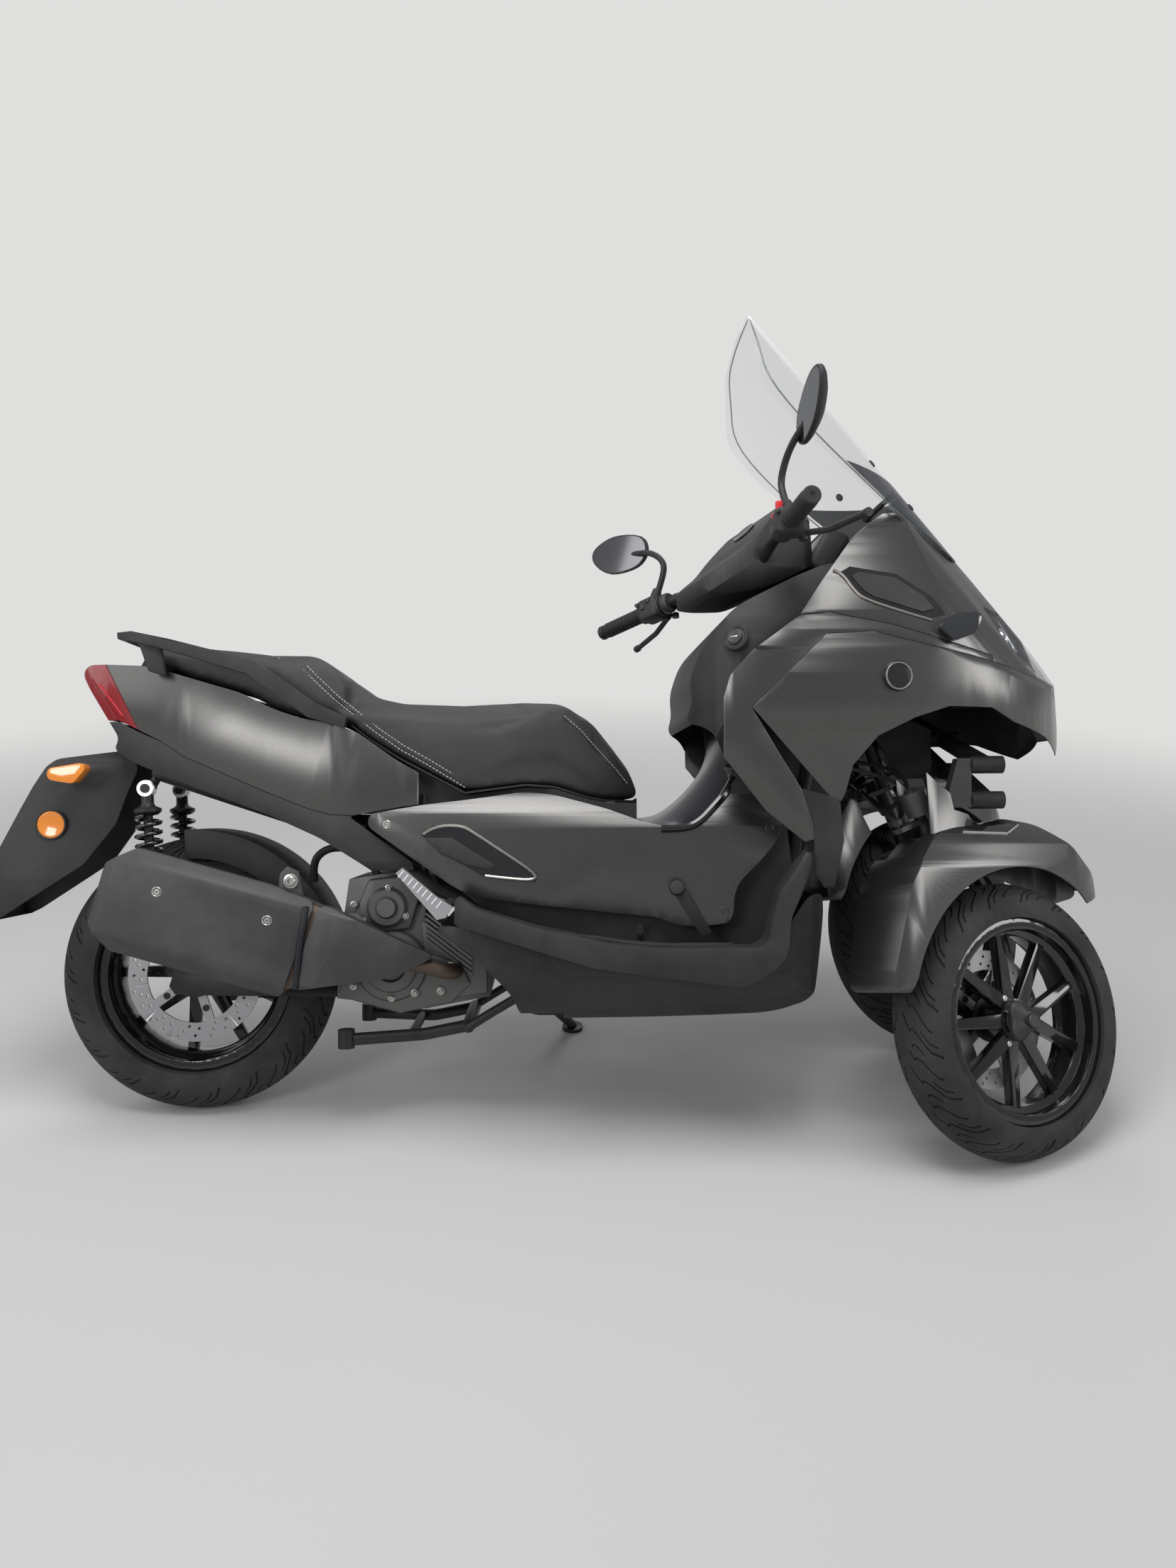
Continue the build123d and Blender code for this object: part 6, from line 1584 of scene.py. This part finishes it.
@dataclass
class ScreenTrim:
    """The windscreen's smoked lower band, its rim and its screws."""

    foot: Point = (1594, 0, 1092)
    head: Point = (1139, 0, 1639)
    outline: Outline = (
        (1099, 50), (1112, 116), (1150, 150), (1200, 171), (1265, 183), (1357, 193), (1448, 193), (1520, 167),
        (1578, 137), (1612, 95), (1630, 50),
    )

    def half_width(self, height: float) -> float:
        """Half the screen's width at a height."""
        for (z0, w0), (z1, w1) in zip(self.outline, self.outline[1:]):
            if height <= z1:
                return w0 + (w1 - w0) * max(0.0, height - z0) / (z1 - z0)
        return self.outline[-1][1]

    def make(self) -> None:
        """Makes the band, the edge line and four screws."""
        skin = Surface(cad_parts["windscreen"].data)
        up = (Vector(self.head) - Vector(self.foot)).normalized()
        ahead = Vector((up.z, 0, -up.x))
        sheet = Piece.grid("screen_band", 28, 8)
        for vertex in sheet.shape.data.vertices:
            side = vertex.co.x
            z = 1112 + (vertex.co.y + 1) * (72 + 16 * side * side)
            y = side * (self.half_width(z) - 6)
            place = skin.front(y, z) or Vector((1500, y, z))
            vertex.co = place + (ahead + Vector((0, 0.5 * side, 0))).normalized() * 0.9
        sheet.modify("SOLIDIFY", thickness=1.0)
        sheet.finish("chassis", SCREEN_BAND, "smoked_lens")
        rim = []
        for hand in (-1, 1):
            side = [skin.front(hand * (wide - 2.5), z) for z, wide in self.outline]
            rim += side if hand < 0 else side[::-1]
        line = Piece.line("screen_rim", [place for place in rim if place], 1.7, 8, True)
        line.finish("chassis", SCREEN_RIM, "screen")
        section = [(0, 0), (9, 0), (9, 1.5), (6.5, 4), (0, 4.6)]
        for hand, word in HANDS:
            for index, (y, z) in enumerate(((96, 1218), (120, 1300))):
                piece = Piece.turned(f"screen_screw_{word}_{index}", section, 18)
                piece.move(placed(skin.front(hand * y, z), ahead + Vector((0, hand * 0.5, 0))))
                piece.finish("chassis", DARK_ALLOY, "dark_plastic")


@dataclass
class NoseTrim:
    """Lamp insides, key lock, bare round badge caps, tunnel strips and the hoses below the nose."""

    strip: Outline = ((1078, 664), (1062, 636), (1036, 609), (1004, 588), (972, 573), (930, 566))
    brake_hose: Path = (
        (1330, -60, 700), (1400, -92, 690), (1440, -118, 660), (1432, -130, 620), (1380, -132, 590),
    )
    wire_loom: Path = (
        (1270, -96, 760), (1262, -108, 700), (1246, -116, 640), (1228, -118, 580), (1222, -112, 520),
    )
    lock_link: Path = ((1300, -70, 690), (1390, -84, 676), (1450, -92, 640))

    def make(self) -> None:
        """Makes the nose's small parts."""
        self.lamps()
        self.key()
        self.badge()
        skin = Surface(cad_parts["side_covers"].data)
        for hand, word in HANDS:
            strip = Piece.line(f"tunnel_trim_{word}", [skin.side(x, z, hand) for x, z in self.strip], 8, 12)
            strip.finish("chassis", GLOSS_BLACK, "dark_plastic")
        for name, points, radius, finish in (
            ("brake_hose", self.brake_hose, 4.5, GRIP_RUBBER),
            ("wire_loom", self.wire_loom, 7.0, GRIP_RUBBER),
            ("lock_link", self.lock_link, 4.0, DARK_ALLOY),
        ):
            Piece.line(name, points, radius, 12).finish("chassis", finish, "dark_plastic")

    def lamps(self) -> None:
        """Makes the light guides, the round lamps and their dark back behind the lens."""
        lens = Surface(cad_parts["headlamp"].data)
        section = [(0, 3), (12, 1.5), (19, -3), (20, -3), (22.5, 0.8), (25, -2), (25, -6), (0, -6)]
        for hand, word in HANDS:
            found = [lens.front(hand * y, z) for y, z in ((90, 985), (118, 950), (140, 915), (178, 884))]
            line = [place + Vector((-7.4, hand * 0.6, -2.6)) for place in found if place]
            Piece.line(f"lamp_guide_{word}", line, 2.6, 10).finish("chassis", LAMP_REFLECTOR, "clear_lens")
            for index, (y, z) in enumerate(((122, 948), (160, 906))):
                eye = Piece.turned(f"lamp_eye_{word}_{index}", section, 32)
                place = lens.front(hand * y, z) + Vector((-11, 0, -4))
                eye.move(placed(place, (0.85, hand * 0.35, 0.4)))
                eye.finish("chassis", LAMP_REFLECTOR, "clear_lens")
        back = Piece.from_mesh("lamp_back", merged_copy("headlamp"))
        back.close_up(0.00002)
        back.move(Matrix.Translation((-0.017, 0, -0.006)))
        back.finish("chassis", GLOSS_BLACK, "dark_plastic", Matrix())

    def badge(self) -> None:
        """Makes the bare round cap on each side of the front cowl."""
        skin = Surface(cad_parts["front_cowl"].data)
        face = [(0, -3), (29, -3), (29, 1), (27.5, 3.4), (25, 3.4), (23.5, 1.8), (14, 2.6), (0, 3)]
        rim = [(23.6, 1.4), (26.4, 1.4), (26.4, 4.2), (25, 4.8), (23.6, 4.2)]
        for hand, word in HANDS:
            seat = placed(skin.side(1366, 849, hand), (0.12, hand, 0.02))
            cap = Piece.turned(f"cowl_cap_{word}", face, 40).move(seat)
            cap.finish("chassis", GLOSS_BLACK, "dark_plastic")
            ring = Piece.turned(f"cowl_cap_ring_{word}", rim, 40).move(seat)
            ring.finish("chassis", CHROME, "bright_alloy")

    def key(self) -> None:
        """Makes the key lock on the leg shield's right side."""
        seat = placed(Surface(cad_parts["leg_shield"].data).side(1068, 923, -1), (-0.55, -0.75, 0.3))
        section = [(0, -2), (25, -2), (25, 5), (22, 8), (19, 5), (15, 5), (15, 9), (12, 11), (0, 9)]
        lock = Piece.turned("key_lock", section, 32).move(seat)
        lock.finish("chassis", DARK_ALLOY, "dark_plastic")
        blade = Piece.plate("key_slot", [(-7, -1.6), (7, -1.6), (7, 1.6), (-7, 1.6)], 11, 0.6).move(seat)
        blade.finish("chassis", BOLT_STEEL, "bright_alloy")


@dataclass
class Studio:
    """Camera, floor, backdrop and lamps."""

    eye: Point = (-0.0166, -2.2222, 1.207)
    yaw: float = math.radians(2.5)
    pitch: float = math.radians(14.41)
    roll: float = math.radians(0.24)
    focal_px: float = 1540.5
    frame_height_px: float = 2212
    paint: Color = (0.5, 0.5, 0.49)
    pale: Color = (0.74, 0.74, 0.73)
    fade: tuple[float, float] = (1.8, 5.0)
    lights: tuple[tuple[str, Point, float, float], ...] = (
        ("overhead", (-0.2, -0.7, 3.4), 1.8, 72),
        ("camera_side", (-2.6, -3.2, 2.4), 1.2, 46),
        ("front_side", (3.0, -1.4, 1.8), 1.2, 30),
        ("back_side", (-3.4, -0.4, 2.4), 2.2, 26),
        ("far_side", (1.0, 3.4, 3.0), 2.0, 34),
    )

    def make(self) -> None:
        """Makes the whole studio and shows its tones as they are."""
        self.camera()
        self.floor()
        self.world()
        self.lamps()
        bpy.context.scene.view_settings.view_transform = "Standard"

    def place(self, name: str, data: bpy.types.ID, where: Point, look: Vector, roll: float = 0.0) -> bpy.types.Object:
        """Puts a camera or a lamp somewhere, looking a given way."""
        shape = bpy.data.objects.new(name, data)
        bpy.context.scene.collection.objects.link(shape)
        turn = look.to_track_quat("-Z", "Y").to_matrix().to_4x4()
        shape.matrix_world = Matrix.Translation(where) @ turn @ Matrix.Rotation(roll, 4, "Z")
        return shape

    def camera(self) -> None:
        """Places the camera where the photograph was taken from."""
        data = bpy.data.cameras.new("camera")
        data.sensor_fit = "VERTICAL"
        data.sensor_height = 24
        data.lens = self.focal_px / self.frame_height_px * data.sensor_height
        data.clip_start = 0.05
        level = math.cos(self.pitch)
        look = Vector((math.sin(self.yaw) * level, math.cos(self.yaw) * level, -math.sin(self.pitch)))
        bpy.context.scene.camera = self.place("camera", data, self.eye, look, self.roll)

    def floor(self) -> None:
        """Lays a plain pale floor that fades, far out, into the plain backdrop's tone."""
        ground = Piece("floor", bpy.ops.mesh.primitive_plane_add, size=60)
        material = Finish("floor_paint", self.paint, 0.9).build()
        graph = Graph(material.node_tree)
        place = graph.add("TexCoord", {}).outputs["Object"]
        away = graph.add("VectorMath", {0: place}, operation="LENGTH").outputs["Value"]
        sockets = {"From Min": self.fade[0], "From Max": self.fade[1], "Value": away}
        share = graph.add("MapRange", sockets, interpolation_type="SMOOTHSTEP").outputs["Result"]
        near = graph.nodes["Principled BSDF"].outputs["BSDF"]
        plain = graph.add("Emission", {"Color": (*self.pale, 1)}).outputs["Emission"]
        mix = graph.add("MixShader", {"Fac": share, 1: near, 2: plain})
        graph.feed(graph.nodes["Material Output"], {"Surface": mix.outputs["Shader"]})
        ground.shape.data.materials.append(material)

    def world(self) -> None:
        """A dim world for light that looks as pale as the far floor to the camera and through glass."""
        world = bpy.data.worlds.new("world")
        bpy.context.scene.world = world
        world.use_nodes = True
        graph = Graph(world.node_tree)
        light = graph.feed(graph.nodes["Background"], {"Color": (0.95, 0.97, 1.0, 1), "Strength": 0.4})
        seen = graph.add("Background", {"Color": (*self.pale, 1)})
        path = graph.add("LightPath", {}).outputs
        sockets = {0: path["Is Camera Ray"], 1: path["Is Transmission Ray"]}
        either = graph.add("Math", sockets, operation="MAXIMUM").outputs["Value"]
        sockets = {"Fac": either, 1: light.outputs["Background"], 2: seen.outputs["Background"]}
        mix = graph.add("MixShader", sockets)
        graph.feed(graph.nodes["World Output"], {"Surface": mix.outputs["Shader"]})

    def lamps(self) -> None:
        """Hangs the soft overhead and side lamps."""
        for name, where, size, power in self.lights:
            data = bpy.data.lights.new(name, "AREA")
            data.size = size
            data.energy = power
            self.place(name, data, where, Vector((0, 0, 0.5)) - Vector(where))


# The round of some panels' edges in metres, and the CAD nodes that have it
PANEL_ROUNDS: tuple[tuple[float, str], ...] = (
    (0.008, "front_cowl upper_cowl front_mudguard_right front_mudguard_left"),
    (0.006, "side_covers footboards leg_shield engine_unit"),
    (0.005, "tail_cover cowl_frame lower_leg_panel belly_cover tail_undercover"),
    (0.004, "plate_holder handlebar_cover muffler_heat_shield grab_rails swing_arm rear_indicators"),
    (0.003, "muffler mirrors front_caliper_right front_caliper_left tail_light front_indicators rear_hugger"),
    (0.002, "controls front_rim_right front_rim_left rear_rim side_stand"),
)

WHEELS = (
    Wheel("right", "front_wheel_right", (0.87716, -0.33302, 0.24642), "front", -1, 261.8, 58.0, 50.0, -14.0, 50.0,
          "front_brake_disc_right", "front_tyre_right"),
    Wheel("left", "front_wheel_left", (0.87716, 0.13698, 0.24642), "front", 1, 261.8, 58.0, 50.0, -14.0, 50.0,
          "front_brake_disc_left", "front_tyre_left"),
    Wheel("rear", "rear_wheel", (-0.7175, -0.10277, 0.26805), "rear", -1, 275.8, 68.0, 54.0, 14.0, -50.0,
          "rear_brake_disc", "rear_tyre", False),
)


def main() -> None:
    """Dresses every CAD node, adds the modelled pieces and sets the studio up."""
    for finish, nodes in NODE_FINISHES:
        for node in nodes.split():
            dress(node, finish)
    panels = RoundedPanels()
    for width, nodes in PANEL_ROUNDS:
        for node in nodes.split():
            panels.soften(node, width)
    assemblies = (
        *WHEELS, Saddle(), SideTrim(), Liners(), TunnelCover(), FootFloor(), PegRibs(), MudguardTrim(), TailTrim(),
        Shocks(), MufflerTrim(), EngineDress(), Cockpit(), ScreenTrim(), NoseTrim(), Studio(),
    )
    for assembly in assemblies:
        assembly.make()


if __name__ == "__main__":
    main()
